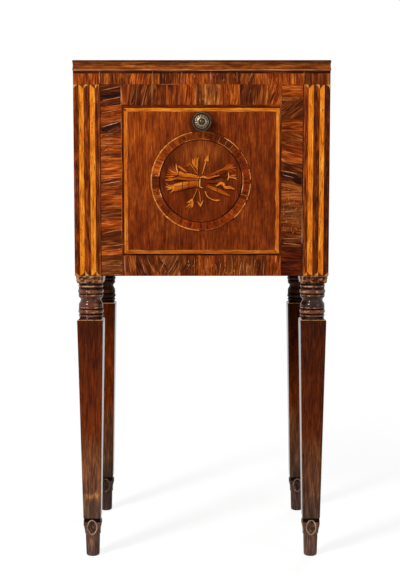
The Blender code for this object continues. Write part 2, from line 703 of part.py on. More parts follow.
def build_flap(materials, flap):
    bm = bmesh.new()
    ledge = FRONT + INLAY_THICKNESS + GLUE_GAP
    inset = STRINGING_WIDTH + GLUE_GAP
    full = (FLAP_HALF_WIDTH, FLAP_BOTTOM, FLAP_TOP)
    field = (FLAP_HALF_WIDTH - inset, FLAP_BOTTOM + inset, FLAP_TOP - inset)
    add_loft(bm, (rectangle(*full, FLAP_BACK), rectangle(*full, ledge),
                  rectangle(*field, ledge), rectangle(*field, FRONT)))
    panel = finish_object("flap_panel", bm, materials["veneer"],
                          (0, FLAP_BACK, FLAP_BOTTOM), flap)

    bm = bmesh.new()
    deep = INLAY_THICKNESS + GLUE_GAP
    inner = RING_INNER_RADIUS - GLUE_GAP
    outer = LINE_RADIUS + GLUE_GAP
    add_turning(bm, ((inner, deep), (outer, deep), (outer, -deep), (inner, -deep)),
                (0, FRONT, FLAP_MIDDLE), (0, 1, 0), RING_SEGMENTS, closed_profile=True)
    hole = polygon_radius(SPINDLE_RADIUS + RUNNING_GAP, PIN_SIDES)
    add_rod(bm, (0, FRONT, KNOB_Z), (0, 1, 0), hole, -deep, FLAP_THICKNESS + deep, PIN_SIDES)
    seat = polygon_radius(PIN_RADIUS + GLUE_GAP, PIN_SIDES)
    for side, sign in SIDES:
        add_rod(bm, (sign * FLAP_HALF_WIDTH, PIVOT_Y, PIVOT_Z), (sign, 0, 0), seat,
                -PIN_IN_FLAP - GLUE_GAP, GLUE_GAP, PIN_SIDES)
    cut_away(panel, "cut_flap", bm)

    build_stringing(materials, flap)
    for name, near, far, slot in (
            ("medallion_ring", RING_INNER_RADIUS, RING_OUTER_RADIUS - GLUE_GAP, "crossband"),
            ("medallion_line", RING_OUTER_RADIUS, LINE_RADIUS, "inlay")):
        bm = bmesh.new()
        add_turning(bm, ((near, 0), (far, 0), (far, INLAY_THICKNESS), (near, INLAY_THICKNESS)),
                    (0, FRONT, FLAP_MIDDLE), (0, 1, 0), RING_SEGMENTS, closed_profile=True)
        finish_object(name, bm, materials[slot], (0, FRONT, FLAP_MIDDLE), flap, smooth=True)

    for side, sign in SIDES:
        bm = bmesh.new()
        add_rod(bm, (sign * FLAP_HALF_WIDTH, PIVOT_Y, PIVOT_Z), (sign, 0, 0), PIN_RADIUS,
                -PIN_IN_FLAP, FLAP_GAP + PIN_IN_STILE, PIN_SIDES)
        finish_object("pivot_pin_" + side, bm, materials["steel"],
                      (sign * FLAP_HALF_WIDTH, PIVOT_Y, PIVOT_Z), flap, smooth=True)

    bm = bmesh.new()
    bore = polygon_radius(SPINDLE_RADIUS + RUNNING_GAP, KNOB_SIDES)
    near = GLUE_GAP
    far = GLUE_GAP + ROSE_THICKNESS
    add_turning(bm, ((bore, near), (ROSE_RADIUS, near), (ROSE_RADIUS, (near + far) / 2),
                     (ROSE_RADIUS - ROSE_THICKNESS, far), (bore, far)),
                (0, FRONT, KNOB_Z), (0, -1, 0), KNOB_SIDES, closed_profile=True)
    finish_object("knob_rose", bm, materials["bronze"], (0, FRONT, KNOB_Z), flap, smooth=True)


def build_stringing(materials, flap):
    # Four light strips with mitred corners round the flap's front edge.
    wide = FLAP_HALF_WIDTH
    narrow = FLAP_HALF_WIDTH - STRINGING_WIDTH
    low = FLAP_BOTTOM + STRINGING_WIDTH
    high = FLAP_TOP - STRINGING_WIDTH
    slack = GLUE_GAP
    outlines = {
        "top": [(-wide + slack, FLAP_TOP), (-narrow + slack, high), (narrow - slack, high),
                (wide - slack, FLAP_TOP)],
        "bottom": [(-wide + slack, FLAP_BOTTOM), (wide - slack, FLAP_BOTTOM),
                   (narrow - slack, low), (-narrow + slack, low)],
    }
    for side, sign in SIDES:
        outlines[side] = [(sign * wide, FLAP_BOTTOM + slack), (sign * narrow, low + slack),
                          (sign * narrow, high - slack), (sign * wide, FLAP_TOP - slack)]
    for name, outline in outlines.items():
        bm = bmesh.new()
        add_extrusion(bm, outline, "Y", FRONT, FRONT + INLAY_THICKNESS)
        middle = sum((Vector((x, FRONT, z)) for x, z in outline), Vector()) / len(outline)
        finish_object("stringing_" + name, bm, materials["inlay"], middle, flap)


# Latch: knob, spindle, tongue and nut turn together in the flap

def build_latch(materials, latch):
    seat = GLUE_GAP + ROSE_THICKNESS + GLUE_GAP
    disc = seat + KNOB_NECK_LENGTH
    face = disc + KNOB_DISC_HEIGHT
    socket = polygon_radius(SPINDLE_RADIUS + GLUE_GAP, KNOB_SIDES)
    groove = face - KNOB_GROOVE_DEPTH
    profile = ((0, seat + KNOB_SOCKET_DEPTH), (socket, seat + KNOB_SOCKET_DEPTH), (socket, seat),
               (KNOB_NECK_RADIUS, seat), (KNOB_NECK_RADIUS, disc), (KNOB_BACK_RADIUS, disc),
               (KNOB_RADIUS, disc + KNOB_RIM_BEVEL), (KNOB_RADIUS, face - KNOB_RIM_BEVEL),
               (KNOB_RIM_RADIUS, face), (KNOB_GROOVE_RADIUS, groove),
               (KNOB_ROSETTE_RADIUS, face), (KNOB_BOSS_RADIUS, groove),
               (KNOB_BOSS_RADIUS, face), (0, face + KNOB_BOSS_HEIGHT))
    bm = bmesh.new()
    add_turning(bm, profile, (0, FRONT, KNOB_Z), (0, -1, 0), KNOB_SIDES)
    finish_object("knob", bm, materials["bronze"], (0, FRONT - disc, KNOB_Z), latch, smooth=True)

    latch_back = LATCH_FACE + LATCH_THICKNESS
    spindle_end = latch_back - FRONT + NUT_SOCKET_DEPTH
    bm = bmesh.new()
    add_rod(bm, (0, FRONT, KNOB_Z), (0, 1, 0), SPINDLE_RADIUS,
            -seat - KNOB_SOCKET_DEPTH + GLUE_GAP, spindle_end, PIN_SIDES)
    finish_object("knob_spindle", bm, materials["steel"], (0, FRONT, KNOB_Z), latch, smooth=True)

    reach = KNOB_DROP + FLAP_GAP + LATCH_LAP
    half = LATCH_WIDTH / 2
    outline = [(LATCH_TAIL, KNOB_Z - half), (LATCH_TAIL, KNOB_Z + half)]
    for step in range(ARCH_STEPS * 2 + 1):
        angle = math.pi * (0.5 + step / (ARCH_STEPS * 2))
        outline.append((half - reach + half * math.cos(angle), KNOB_Z + half * math.sin(angle)))
    bm = bmesh.new()
    add_extrusion(bm, outline, "Y", LATCH_FACE, latch_back)
    tongue = finish_object("latch_tongue", bm, materials["brass"], (0, LATCH_FACE, KNOB_Z), latch)
    bm = bmesh.new()
    eye = polygon_radius(SPINDLE_RADIUS + GLUE_GAP, PIN_SIDES)
    add_rod(bm, (0, LATCH_FACE, KNOB_Z), (0, 1, 0), eye, -GLUE_GAP,
            LATCH_THICKNESS + GLUE_GAP, PIN_SIDES)
    cut_away(tongue, "cut_tongue_eye", bm)

    bm = bmesh.new()
    near = GLUE_GAP
    profile = ((0, near + NUT_SOCKET_DEPTH), (socket, near + NUT_SOCKET_DEPTH), (socket, near),
               (NUT_RADIUS, near), (NUT_RADIUS, near + NUT_LENGTH - NUT_CHAMFER),
               (NUT_RADIUS - NUT_CHAMFER, near + NUT_LENGTH), (0, near + NUT_LENGTH))
    add_turning(bm, profile, (0, latch_back, KNOB_Z), (0, 1, 0), KNOB_SIDES)
    finish_object("tongue_nut", bm, materials["brass"], (0, latch_back, KNOB_Z), latch,
                  smooth=True)


def main():
    for leftover in list(bpy.data.objects):
        bpy.data.objects.remove(leftover, do_unlink=True)
    materials = make_materials()
    build_top(materials)
    build_posts(materials)
    build_flutes(materials)
    build_panels(materials)
    build_front_frame(materials)
    build_case_fittings(materials)
    build_legs(materials)
    flap = make_empty("flap_axis", (0, PIVOT_Y, PIVOT_Z))
    latch = make_empty("latch_axis", (0, FRONT, KNOB_Z), flap)
    build_flap(materials, flap)
    build_latch(materials, latch)


main()
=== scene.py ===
import math
import random

import bmesh
import bpy
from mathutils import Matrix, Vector, noise


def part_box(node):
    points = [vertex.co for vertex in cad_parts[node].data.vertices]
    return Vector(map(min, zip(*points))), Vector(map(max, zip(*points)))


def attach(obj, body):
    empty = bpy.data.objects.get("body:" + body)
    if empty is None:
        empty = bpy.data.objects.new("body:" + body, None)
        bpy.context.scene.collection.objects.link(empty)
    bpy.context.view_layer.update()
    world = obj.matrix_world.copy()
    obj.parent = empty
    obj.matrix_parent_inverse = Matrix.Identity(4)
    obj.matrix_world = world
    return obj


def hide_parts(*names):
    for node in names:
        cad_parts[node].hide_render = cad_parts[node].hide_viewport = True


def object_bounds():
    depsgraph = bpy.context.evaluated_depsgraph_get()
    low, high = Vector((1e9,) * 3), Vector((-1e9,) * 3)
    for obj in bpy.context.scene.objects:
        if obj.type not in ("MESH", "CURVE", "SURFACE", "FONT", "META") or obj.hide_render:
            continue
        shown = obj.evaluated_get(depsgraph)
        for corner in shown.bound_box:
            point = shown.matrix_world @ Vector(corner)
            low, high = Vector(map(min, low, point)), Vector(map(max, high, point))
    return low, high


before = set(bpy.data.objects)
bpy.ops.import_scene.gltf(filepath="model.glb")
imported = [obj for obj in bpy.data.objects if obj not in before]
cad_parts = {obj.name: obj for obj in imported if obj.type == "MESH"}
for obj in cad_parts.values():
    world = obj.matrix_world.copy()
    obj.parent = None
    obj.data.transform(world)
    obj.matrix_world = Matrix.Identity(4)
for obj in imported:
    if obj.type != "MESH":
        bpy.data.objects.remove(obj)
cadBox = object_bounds()

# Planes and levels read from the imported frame, in metres
postLow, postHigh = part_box("post_front_left")
flapLow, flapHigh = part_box("flap_panel")
railLow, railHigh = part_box("front_rail_upper")
lipFrontLow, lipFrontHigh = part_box("top_lip_front")
lipLeftLow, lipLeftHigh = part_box("top_lip_left")
knobLow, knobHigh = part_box("knob")
roseLow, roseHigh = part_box("knob_rose")
frontY = postLow.y
halfWidth = -postLow.x
postInner = -postHigh.x
postDepth = postHigh.y - postLow.y
caseBottom = postLow.z
caseTop = postHigh.z
friezeLow = railHigh.z
openingHalf = -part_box("front_stile_left")[1].x
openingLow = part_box("front_rail_lower")[1].z
openingHigh = railLow.z
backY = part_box("post_back_left")[1].y
topLevel = cadBox[1].z
flapMiddle = (flapLow.z + flapHigh.z) / 2
knobLevel = (knobLow.z + knobHigh.z) / 2

# Faces that veneer is laid on: origin, rightwards, upwards and outwards as seen from outside
frontFace = (Vector((0, frontY, 0)), Vector((1, 0, 0)), Vector((0, 0, 1)), Vector((0, -1, 0)))
leftFace = (Vector((-halfWidth, 0, 0)), Vector((0, -1, 0)), Vector((0, 0, 1)), Vector((-1, 0, 0)))
rightFace = (Vector((halfWidth, 0, 0)), Vector((0, 1, 0)), Vector((0, 0, 1)), Vector((1, 0, 0)))
topFace = (Vector((0, 0, topLevel)), Vector((1, 0, 0)), Vector((0, 1, 0)), Vector((0, 0, 1)))

# Tones that a leaf of veneer multiplies its wood by
tones = {
    "pitch": (0.11, 0.09, 0.13), "soot": (0.20, 0.16, 0.20), "ember": (0.40, 0.23, 0.12),
    "char": (0.38, 0.34, 0.38), "dark": (0.56, 0.52, 0.56), "brown": (0.80, 0.76, 0.76),
    "red": (0.96, 0.80, 0.66), "mid": (1.0, 1.0, 1.0), "grey": (0.94, 1.04, 1.20),
    "ash": (1.08, 1.45, 2.40), "olive": (1.75, 2.40, 3.40), "orange": (1.40, 1.24, 0.90),
    "light": (1.75, 1.60, 1.20),
}
sliverTone = (0.86, 1.15, 8.0)  # pale edges on the golden wood; on the slivers partly a painted highlight


def screen(red, green, blue):  # a colour as a screen shows it, 0 to 255, made linear
    parts = [value / 255 for value in (red, green, blue)]
    return tuple(p / 12.92 if p < 0.04 else ((p + 0.055) / 1.055) ** 2.4 for p in parts)


def between(low, high, share):
    return low + (high - low) * share


def millimetres(*values):
    return [value / 1000 for value in values]


# Node helpers

def feed(tree, node, values):  # each socket takes a link or a plain value
    for name, value in values.items():
        if isinstance(value, bpy.types.NodeSocket):
            tree.links.new(value, node.inputs[name])
        else:
            node.inputs[name].default_value = value


def addNode(tree, kind, settings=None, values=None):
    node = tree.nodes.new("ShaderNode" + kind)
    for name, value in (settings or {}).items():
        setattr(node, name, value)
    feed(tree, node, values or {})
    return node


def sums(tree, operation, first, second):
    return addNode(tree, "Math", {"operation": operation}, {0: first, 1: second}).outputs[0]


def spread(tree, source, low, high, newLow=0.0, newHigh=1.0):  # stretch a value to a new range
    return addNode(tree, "MapRange", {"interpolation_type": "SMOOTHSTEP"}, {
        "Value": source, "From Min": low, "From Max": high, "To Min": newLow, "To Max": newHigh}).outputs[0]


def blendColour(tree, share, first, second, how="MIX"):  # plain colours are 0 to 255, as on a screen
    node = addNode(tree, "Mix", {"data_type": "RGBA", "blend_type": how}, {0: share})
    feed(tree, node, {socket: source if isinstance(source, bpy.types.NodeSocket) else (*screen(*source), 1)
                      for socket, source in ((6, first), (7, second))})
    return node.outputs[2]


def readAttribute(tree, name, output="Fac"):
    return addNode(tree, "Attribute", {"attribute_name": name}).outputs[output]


def objectPlace(tree):
    return addNode(tree, "TexCoord").outputs["Object"]


def newGroup(name, inputs, outputs):
    group = bpy.data.node_groups.new(name, "ShaderNodeTree")
    group.interface.new_socket("Place", in_out="INPUT", socket_type="NodeSocketVector")
    for socketName in inputs:
        group.interface.new_socket(socketName, in_out="INPUT", socket_type="NodeSocketFloat")
    for socketName in outputs:
        group.interface.new_socket(socketName, in_out="OUTPUT", socket_type="NodeSocketFloat")
    return group, group.nodes.new("NodeGroupInput").outputs, group.nodes.new("NodeGroupOutput")


def makeGrainGroup():
    # Place holds metres along the grain, across it, and the leaf's own number
    group, given, made = newGroup("veneerGrain", ("Fibre Length", "Fibre Width", "Figure Size", "Waviness"),
                                  ("Fibre", "Figure", "Pores"))
    along, level, number = addNode(group, "SeparateXYZ", values={0: given["Place"]}).outputs
    sway = addNode(group, "TexNoise", values={"Vector": given["Place"], "Scale": 26.0, "Detail": 2.0})
    drift = sums(group, "MULTIPLY", sums(group, "SUBTRACT", sway.outputs[0], 0.5), given["Waviness"])
    across = sums(group, "ADD", level, drift)
    for name, lengthFrom, long, widthFrom, wide, detail, distortion, low, high in (
            ("Fibre", "Fibre Length", 1.0, "Fibre Width", 1.0, 4.0, 0.0, 0.35, 0.65),
            ("Figure", "Figure Size", 5.0, "Figure Size", 1.0, 2.5, 0.7, 0.30, 0.70),
            ("Pores", "Fibre Length", 0.45, "Fibre Width", 0.55, 1.0, 0.0, 0.56, 0.70)):
        length = sums(group, "MULTIPLY", given[lengthFrom], long)
        width = sums(group, "MULTIPLY", given[widthFrom], wide)
        spot = addNode(group, "CombineXYZ", values={
            index: sums(group, "DIVIDE", source, size)
            for index, (source, size) in enumerate(((along, length), (across, width), (number, width)))})
        pattern = addNode(group, "TexNoise", values={
            "Vector": spot.outputs[0], "Scale": 1.0, "Detail": detail, "Roughness": 0.62,
            "Distortion": distortion})
        feed(group, made, {name: spread(group, pattern.outputs[0], low, high)})
    return group


def makeHandlingGroup():
    # Rub shows where hands and brooms took the polish off, Grime where it gathered
    group, given, made = newGroup("handling", ("Wear", "Hollow", "Patch Size"), ("Rub", "Grime"))
    scaled = addNode(group, "VectorMath", {"operation": "DIVIDE"}, {
        0: given["Place"], 1: given["Patch Size"]})
    blotch = addNode(group, "TexNoise", values={
        "Vector": scaled.outputs[0], "Scale": 1.0, "Detail": 4.0, "Roughness": 0.65})
    for name, source, low, high in (("Rub", "Wear", 0.85, 1.25), ("Grime", "Hollow", 0.70, 1.20)):
        amount = sums(group, "ADD", given[source], blotch.outputs[0])
        feed(group, made, {name: spread(group, amount, low, high)})
    return group


grainGroup = makeGrainGroup()
handlingGroup = makeHandlingGroup()
print("node groups made")


# Materials

def startMaterial(name):
    material = bpy.data.materials.new(name)
    material.use_nodes = True
    return material, material.node_tree, material.node_tree.nodes["Principled BSDF"]


def addHandling(tree, place, patchSize):
    return addNode(tree, "Group", {"node_tree": handlingGroup}, {
        "Place": place, "Patch Size": patchSize, "Wear": readAttribute(tree, "wear"),
        "Hollow": readAttribute(tree, "hollow")}).outputs


def grainPlace(tree, along):
    if along is None:  # a laid leaf carries its own grain
        return readAttribute(tree, "grainAt", "Vector")
    parts = addNode(tree, "SeparateXYZ", values={0: objectPlace(tree)}).outputs
    order = along + "xyz".replace(along, "")
    return addNode(tree, "CombineXYZ", values={
        index: parts["xyz".index(axis)] for index, axis in enumerate(order)}).outputs[0]


woodRelief = {"strength": 0.6, "poreDrop": 0.8, "rubbedDull": 0.18}  # dull: added roughness where rubbed


def makeWood(name, look):
    material, tree, shader = startMaterial(name)
    place = grainPlace(tree, look.get("along"))
    grain = addNode(tree, "Group", {"node_tree": grainGroup}, {
        "Place": place, "Fibre Length": look["fibreLength"], "Fibre Width": look["fibreWidth"],
        "Figure Size": look["figureSize"], "Waviness": look["waviness"]}).outputs
    share = look["figureShare"]
    mixed = sums(tree, "ADD", sums(tree, "MULTIPLY", grain["Fibre"], 1 - share),
                 sums(tree, "MULTIPLY", grain["Figure"], share))
    ramp = addNode(tree, "ValToRGB", values={0: mixed})
    stops = ramp.color_ramp.elements
    while len(stops) < len(look["stops"]):
        stops.new(0.5)
    for stop, (position, colour) in zip(stops, look["stops"]):
        stop.position = position
        stop.color = (*screen(*colour), 1)
    pores = sums(tree, "MULTIPLY", grain["Pores"], look["poreDepth"])
    colour = blendColour(tree, pores, ramp.outputs[0], look["poreColour"])
    if look.get("toned"):
        colour = blendColour(tree, 1.0, colour, readAttribute(tree, "leafTone", "Color"), "MULTIPLY")
    rough = spread(tree, grain["Fibre"], 0, 1, *look["roughness"])
    if look.get("handled"):
        handled = addHandling(tree, place, look["patchSize"])
        colour = blendColour(tree, handled["Grime"], colour, look["grimeColour"])
        colour = blendColour(tree, handled["Rub"], colour, look["bareColour"])
        rough = sums(tree, "ADD", rough, sums(tree, "MULTIPLY", handled["Rub"], woodRelief["rubbedDull"]))
    sunk = sums(tree, "MULTIPLY", grain["Pores"], woodRelief["poreDrop"])
    bump = addNode(tree, "Bump", values={"Strength": woodRelief["strength"], "Distance": look["bump"],
                                         "Height": sums(tree, "SUBTRACT", grain["Fibre"], sunk)})
    feed(tree, shader, {"Base Color": colour, "Roughness": rough, "Normal": bump.outputs[0],
                        "Specular IOR Level": look["shine"]})
    if look.get("coated"):  # shellac, as thick as each spot's gloss
        feed(tree, shader, {"Coat Weight": readAttribute(tree, "gloss"), "Coat IOR": look["coatIor"],
                            "Coat Roughness": look["coatRoughness"]})
    return material


redVeneerLook = {
    "stops": ((0.0, (72, 23, 2)), (0.42, (117, 45, 7)), (0.70, (137, 57, 12)), (1.0, (170, 83, 26))),
    "fibreLength": 0.022, "fibreWidth": 0.0008, "figureSize": 0.010, "waviness": 0.0008,
    "figureShare": 0.34, "poreDepth": 0.50, "poreColour": (60, 19, 2),
    "roughness": (0.42, 0.58), "bump": 0.00010, "shine": 0.05, "toned": True}
crossVeneerLook = {
    "stops": ((0.0, (36, 12, 3)), (0.32, (92, 36, 7)), (0.64, (138, 62, 15)), (1.0, (200, 114, 50))),
    "fibreLength": 0.034, "fibreWidth": 0.0013, "figureSize": 0.0075, "waviness": 0.0034,
    "figureShare": 0.54, "poreDepth": 0.40, "poreColour": (34, 12, 3),
    "roughness": (0.38, 0.54), "bump": 0.00016, "shine": 0.05, "toned": True}
goldInlayLook = {
    "stops": ((0.0, (140, 64, 6)), (0.35, (204, 108, 18)), (0.70, (222, 130, 30)),
              (1.0, (244, 166, 62))),
    "fibreLength": 0.026, "fibreWidth": 0.0016, "figureSize": 0.010, "waviness": 0.0015,
    "figureShare": 0.42, "poreDepth": 0.62, "poreColour": (92, 36, 4),
    "roughness": (0.40, 0.54), "bump": 0.00008, "shine": 0.06, "toned": True}
shadeVeneerLook = {
    "stops": ((0.0, (40, 12, 2)), (0.5, (104, 40, 8)), (1.0, (176, 86, 26))),
    "fibreLength": 0.028, "fibreWidth": 0.0017, "figureSize": 0.006, "waviness": 0.002,
    "figureShare": 0.40, "poreDepth": 0.5, "poreColour": (38, 12, 3),
    "roughness": (0.40, 0.54), "bump": 0.00010, "shine": 0.05, "toned": True}
legPolishLook = {
    "stops": ((0.0, (46, 14, 3)), (0.5, (78, 29, 7)), (1.0, (113, 48, 14))),
    "fibreLength": 0.030, "fibreWidth": 0.0011, "figureSize": 0.009, "waviness": 0.003,
    "figureShare": 0.40, "poreDepth": 0.5, "poreColour": (28, 9, 3),
    "roughness": (0.14, 0.22), "bump": 0.00004, "shine": 0.0, "coated": True, "toned": True,
    "along": "z", "handled": True, "patchSize": 0.006, "bareColour": (188, 143, 103),
    "grimeColour": (16, 7, 4), "coatIor": 1.12, "coatRoughness": 0.08}
turningPolishLook = {**legPolishLook, "coatIor": 1.40, "coatRoughness": 0.15}
mouldingLook = {
    "stops": ((0.0, (62, 24, 4)), (0.45, (114, 52, 11)), (1.0, (172, 98, 40))),
    "fibreLength": 0.055, "fibreWidth": 0.0014, "figureSize": 0.006, "waviness": 0.002,
    "figureShare": 0.45, "poreDepth": 0.45, "poreColour": (42, 15, 4),
    "roughness": (0.36, 0.50), "bump": 0.00010, "shine": 0.06, "toned": True,
    "handled": True, "patchSize": 0.008, "bareColour": (196, 132, 90), "grimeColour": (34, 12, 4)}
carcassLook = {
    "stops": ((0.0, (46, 22, 9)), (0.5, (74, 38, 16)), (1.0, (104, 58, 28))),
    "fibreLength": 0.060, "fibreWidth": 0.0016, "figureSize": 0.010, "waviness": 0.004,
    "figureShare": 0.45, "poreDepth": 0.4, "poreColour": (30, 14, 7),
    "roughness": (0.55, 0.72), "bump": 0.00016, "shine": 0.20}
softwoodLook = {
    "stops": ((0.0, (88, 54, 26)), (0.5, (122, 80, 42)), (1.0, (152, 106, 62))),
    "fibreLength": 0.120, "fibreWidth": 0.0024, "figureSize": 0.012, "waviness": 0.006,
    "figureShare": 0.50, "poreDepth": 0.30, "poreColour": (62, 36, 18),
    "roughness": (0.60, 0.78), "bump": 0.00018, "shine": 0.18}

redVeneer = makeWood("redVeneer", redVeneerLook)
crossVeneer = makeWood("crossVeneer", crossVeneerLook)
goldInlay = makeWood("goldInlay", goldInlayLook)
shadeVeneer = makeWood("shadeVeneer", shadeVeneerLook)
legPolish = makeWood("legPolish", legPolishLook)
turningPolish = makeWood("turningPolish", turningPolishLook)
topMouldingWood = makeWood("topMouldingWood", mouldingLook)
carcassWood = {axis: makeWood("carcassWood." + axis, {**carcassLook, "along": axis}) for axis in "xz"}
softwood = {axis: makeWood("softwood." + axis, {**softwoodLook, "along": axis}) for axis in "xyz"}


metalRelief = {"strength": 0.4, "distance": 0.0001}


def makeMetal(name, look):
    material, tree, shader = startMaterial(name)
    place = objectPlace(tree)
    cloud = addNode(tree, "TexNoise", values={
        "Vector": place, "Scale": look["scale"], "Detail": 5.0, "Roughness": 0.6}).outputs[0]
    handled = addHandling(tree, place, look["patchSize"])
    colour = blendColour(tree, spread(tree, cloud, 0.35, 0.65), look["dull"], look["clean"])
    colour = blendColour(tree, handled["Rub"], colour, look["rubbed"])
    colour = blendColour(tree, handled["Grime"], colour, look["grime"])
    bump = addNode(tree, "Bump", values={"Strength": metalRelief["strength"],
                                         "Distance": metalRelief["distance"], "Height": cloud})
    feed(tree, shader, {"Base Color": colour, "Normal": bump.outputs[0], "Metallic": look["metallic"],
                        "Roughness": spread(tree, cloud, 0.3, 0.7, *look["roughness"]),
                        "Specular IOR Level": look["shine"]})
    return material


agedBronze = makeMetal("agedBronze", {
    "scale": 420.0, "dull": (66, 52, 37), "clean": (92, 76, 56), "rubbed": (168, 147, 122),
    "grime": (40, 31, 20), "roughness": (0.30, 0.42), "metallic": 0.9, "patchSize": 0.0020,
    "shine": 0.3})
agedBrass = makeMetal("agedBrass", {
    "scale": 180.0, "dull": (118, 88, 44), "clean": (176, 138, 72), "rubbed": (206, 172, 104),
    "grime": (60, 42, 20), "roughness": (0.32, 0.50), "metallic": 0.95, "patchSize": 0.004,
    "shine": 0.5})
dullSteel = makeMetal("dullSteel", {
    "scale": 220.0, "dull": (96, 90, 84), "clean": (150, 146, 140), "rubbed": (176, 172, 166),
    "grime": (60, 52, 46), "roughness": (0.36, 0.55), "metallic": 0.95, "patchSize": 0.004,
    "shine": 0.5})
print("materials made")


# Carcass parts that stay as packed get their wood or metal here
carcassFinish = (
    (softwood["x"], "top_board back_panel floor_board"),
    (softwood["y"], "floor_cleat_left floor_cleat_right glue_block_front_left glue_block_front_right "
                    "glue_block_back_left glue_block_back_right"),
    (softwood["z"], "stop_strip_left stop_strip_right side_panel_left side_panel_right"),
    (carcassWood["z"], "post_front_left post_front_right post_back_left post_back_right "
                       "front_stile_left front_stile_right"),
    (carcassWood["x"], "front_rail_upper front_rail_lower frieze_rail flap_panel"),
    (agedBrass, "pivot_plate_left pivot_plate_right latch_keeper latch_tongue tongue_nut"),
    (dullSteel, "pivot_pin_left pivot_pin_right knob_spindle"))
for finish, nodeNames in carcassFinish:
    for nodeName in nodeNames.split():
        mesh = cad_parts[nodeName].data
        mesh.materials.clear()
        mesh.materials.append(finish)
print("carcass finished")


# Mesh helpers

def newMesh():
    bm = bmesh.new()
    bm.verts.layers.float_vector.new("grainAt")
    bm.verts.layers.float_color.new("leafTone")
    for name in ("wear", "hollow", "gloss"):
        bm.verts.layers.float.new(name)
    return bm


def addVert(bm, spot, grainAt, tone, wear=0.0, hollow=0.0, gloss=0.0):
    layers = bm.verts.layers
    vert = bm.verts.new(spot)
    vert[layers.float_vector["grainAt"]] = grainAt
    vert[layers.float_color["leafTone"]] = (*tone, 1.0)
    for name, value in (("wear", wear), ("hollow", hollow), ("gloss", gloss)):
        vert[layers.float[name]] = value
    return vert


def joinRings(bm, rings, closed=True, capStart=True, capEnd=True):
    for lower, upper in zip(rings, rings[1:]):
        count = len(lower)
        for index in range(count if closed else count - 1):
            after = (index + 1) % count
            bm.faces.new((lower[index], lower[after], upper[after], upper[index]))
    if capStart:
        bm.faces.new(rings[0][::-1])
    if capEnd:
        bm.faces.new(rings[-1])


def addObject(name, data):
    thing = bpy.data.objects.new(name, data)
    bpy.context.scene.collection.objects.link(thing)
    return thing


def finishPiece(name, bm, material, body, stoodFor=(), smooth=None):
    mesh = bpy.data.meshes.new(name)
    bmesh.ops.recalc_face_normals(bm, faces=bm.faces)
    bm.to_mesh(mesh)
    bm.free()
    mesh.materials.append(material)
    if smooth:
        mesh.shade_smooth()
        mesh.set_sharp_from_angle(angle=math.radians(smooth))
    piece = addObject(name, mesh)
    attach(piece, body)
    if stoodFor:
        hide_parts(*stoodFor)


# Leaves of veneer: lift above the ground and sink below it, eased edge, finer edge of small marks, and
# the step between marks so that no two share a plane
leafSizes = {"lift": 0.0005, "sink": 0.0003, "ease": 0.00014, "fineEase": 0.00004, "step": 0.000002,
             "raised": 0.0006}
jointGap = 0.00012
looseness = random.Random(7)


def shrinkOutline(outline, inset):
    moved = []
    for index, here in enumerate(outline):
        before = Vector(outline[index - 1])
        here = Vector(here)
        after = Vector(outline[(index + 1) % len(outline)])
        arriving = (here - before).normalized()
        leaving = (after - here).normalized()
        inward = Vector((-arriving.y - leaving.y, arriving.x + leaving.x))
        moved.append(here + inward * (inset / max(0.4, 1 + arriving.dot(leaving))))
    return moved


def addLeafVert(bm, face, spot, level, grain, number, tone):
    origin, right, up, out = face
    u, v = spot
    turn = math.radians(grain)
    cosine, sine = math.cos(turn), math.sin(turn)
    return addVert(bm, origin + right * u + up * v + out * level,
                   (u * cosine + v * sine, v * cosine - u * sine, number), tone)


def addLeaf(bm, face, outline, grain, tone, lift=leafSizes["lift"], ease=leafSizes["ease"]):
    # An outline on a face, counter-clockwise, with eased upper edges
    number = len(bm.faces) * 0.0137
    shade = tones[tone] if isinstance(tone, str) else tone
    levels = ((-leafSizes["sink"], outline), (lift - ease, outline), (lift, shrinkOutline(outline, ease)))
    joinRings(bm, [[addLeafVert(bm, face, spot, level, grain, number, shade) for spot in edge]
                   for level, edge in levels])


def addSheet(bm, face, bounds, steps, grain, toneAt, lift):
    # A wide leaf as a fine grid, so that its tone can drift across it
    left, low, right, high = bounds
    grid = []
    for row in range(steps + 1):
        grid.append([])
        for column in range(steps + 1):
            u = between(left, right, column / steps)
            v = between(low, high, row / steps)
            rim = row in (0, steps) or column in (0, steps)
            grid[-1].append(addLeafVert(bm, face, (u, v), -leafSizes["sink"] if rim else lift, grain, 0.31,
                                        toneAt(u, v)))
    joinRings(bm, grid, closed=False, capStart=False, capEnd=False)


def rectangle(left, low, right, high):
    return [(left, low), (right, low), (right, high), (left, high)]


def counterClockwise(outline):
    area = sum(a[0] * b[1] - b[0] * a[1] for a, b in zip(outline, outline[1:] + outline[:1]))
    return outline if area > 0 else outline[::-1]


def heading(direction):  # the way a flat vector points, in degrees
    return math.degrees(math.atan2(direction.y, direction.x))


def addRow(bm, face, span, ends, leaves, upright):
    # Leaves side by side along a band: end of the leaf in mm, tone, grain, slant of its end in mm
    near, far = span
    start, slantBefore = ends[0], 0.0
    for end, tone, grain, slant in leaves:
        end, slant = millimetres(end, slant)
        if end == ends[1]:
            slant = 0.0
        a, b = start + jointGap, end - jointGap
        wobble = [looseness.uniform(-0.0003, 0.0003) for _ in range(2)]
        corners = [(a - slantBefore, near), (b - slant, near), (b + wobble[0], (near + far) / 2),
                   (b + slant, far), (a + slantBefore, far), (a + wobble[1], (near + far) / 2)]
        if upright:  # the band runs up the face
            corners = [(v, u) for u, v in corners][::-1]
        addLeaf(bm, face, corners, grain, tone)
        start, slantBefore = end, slant
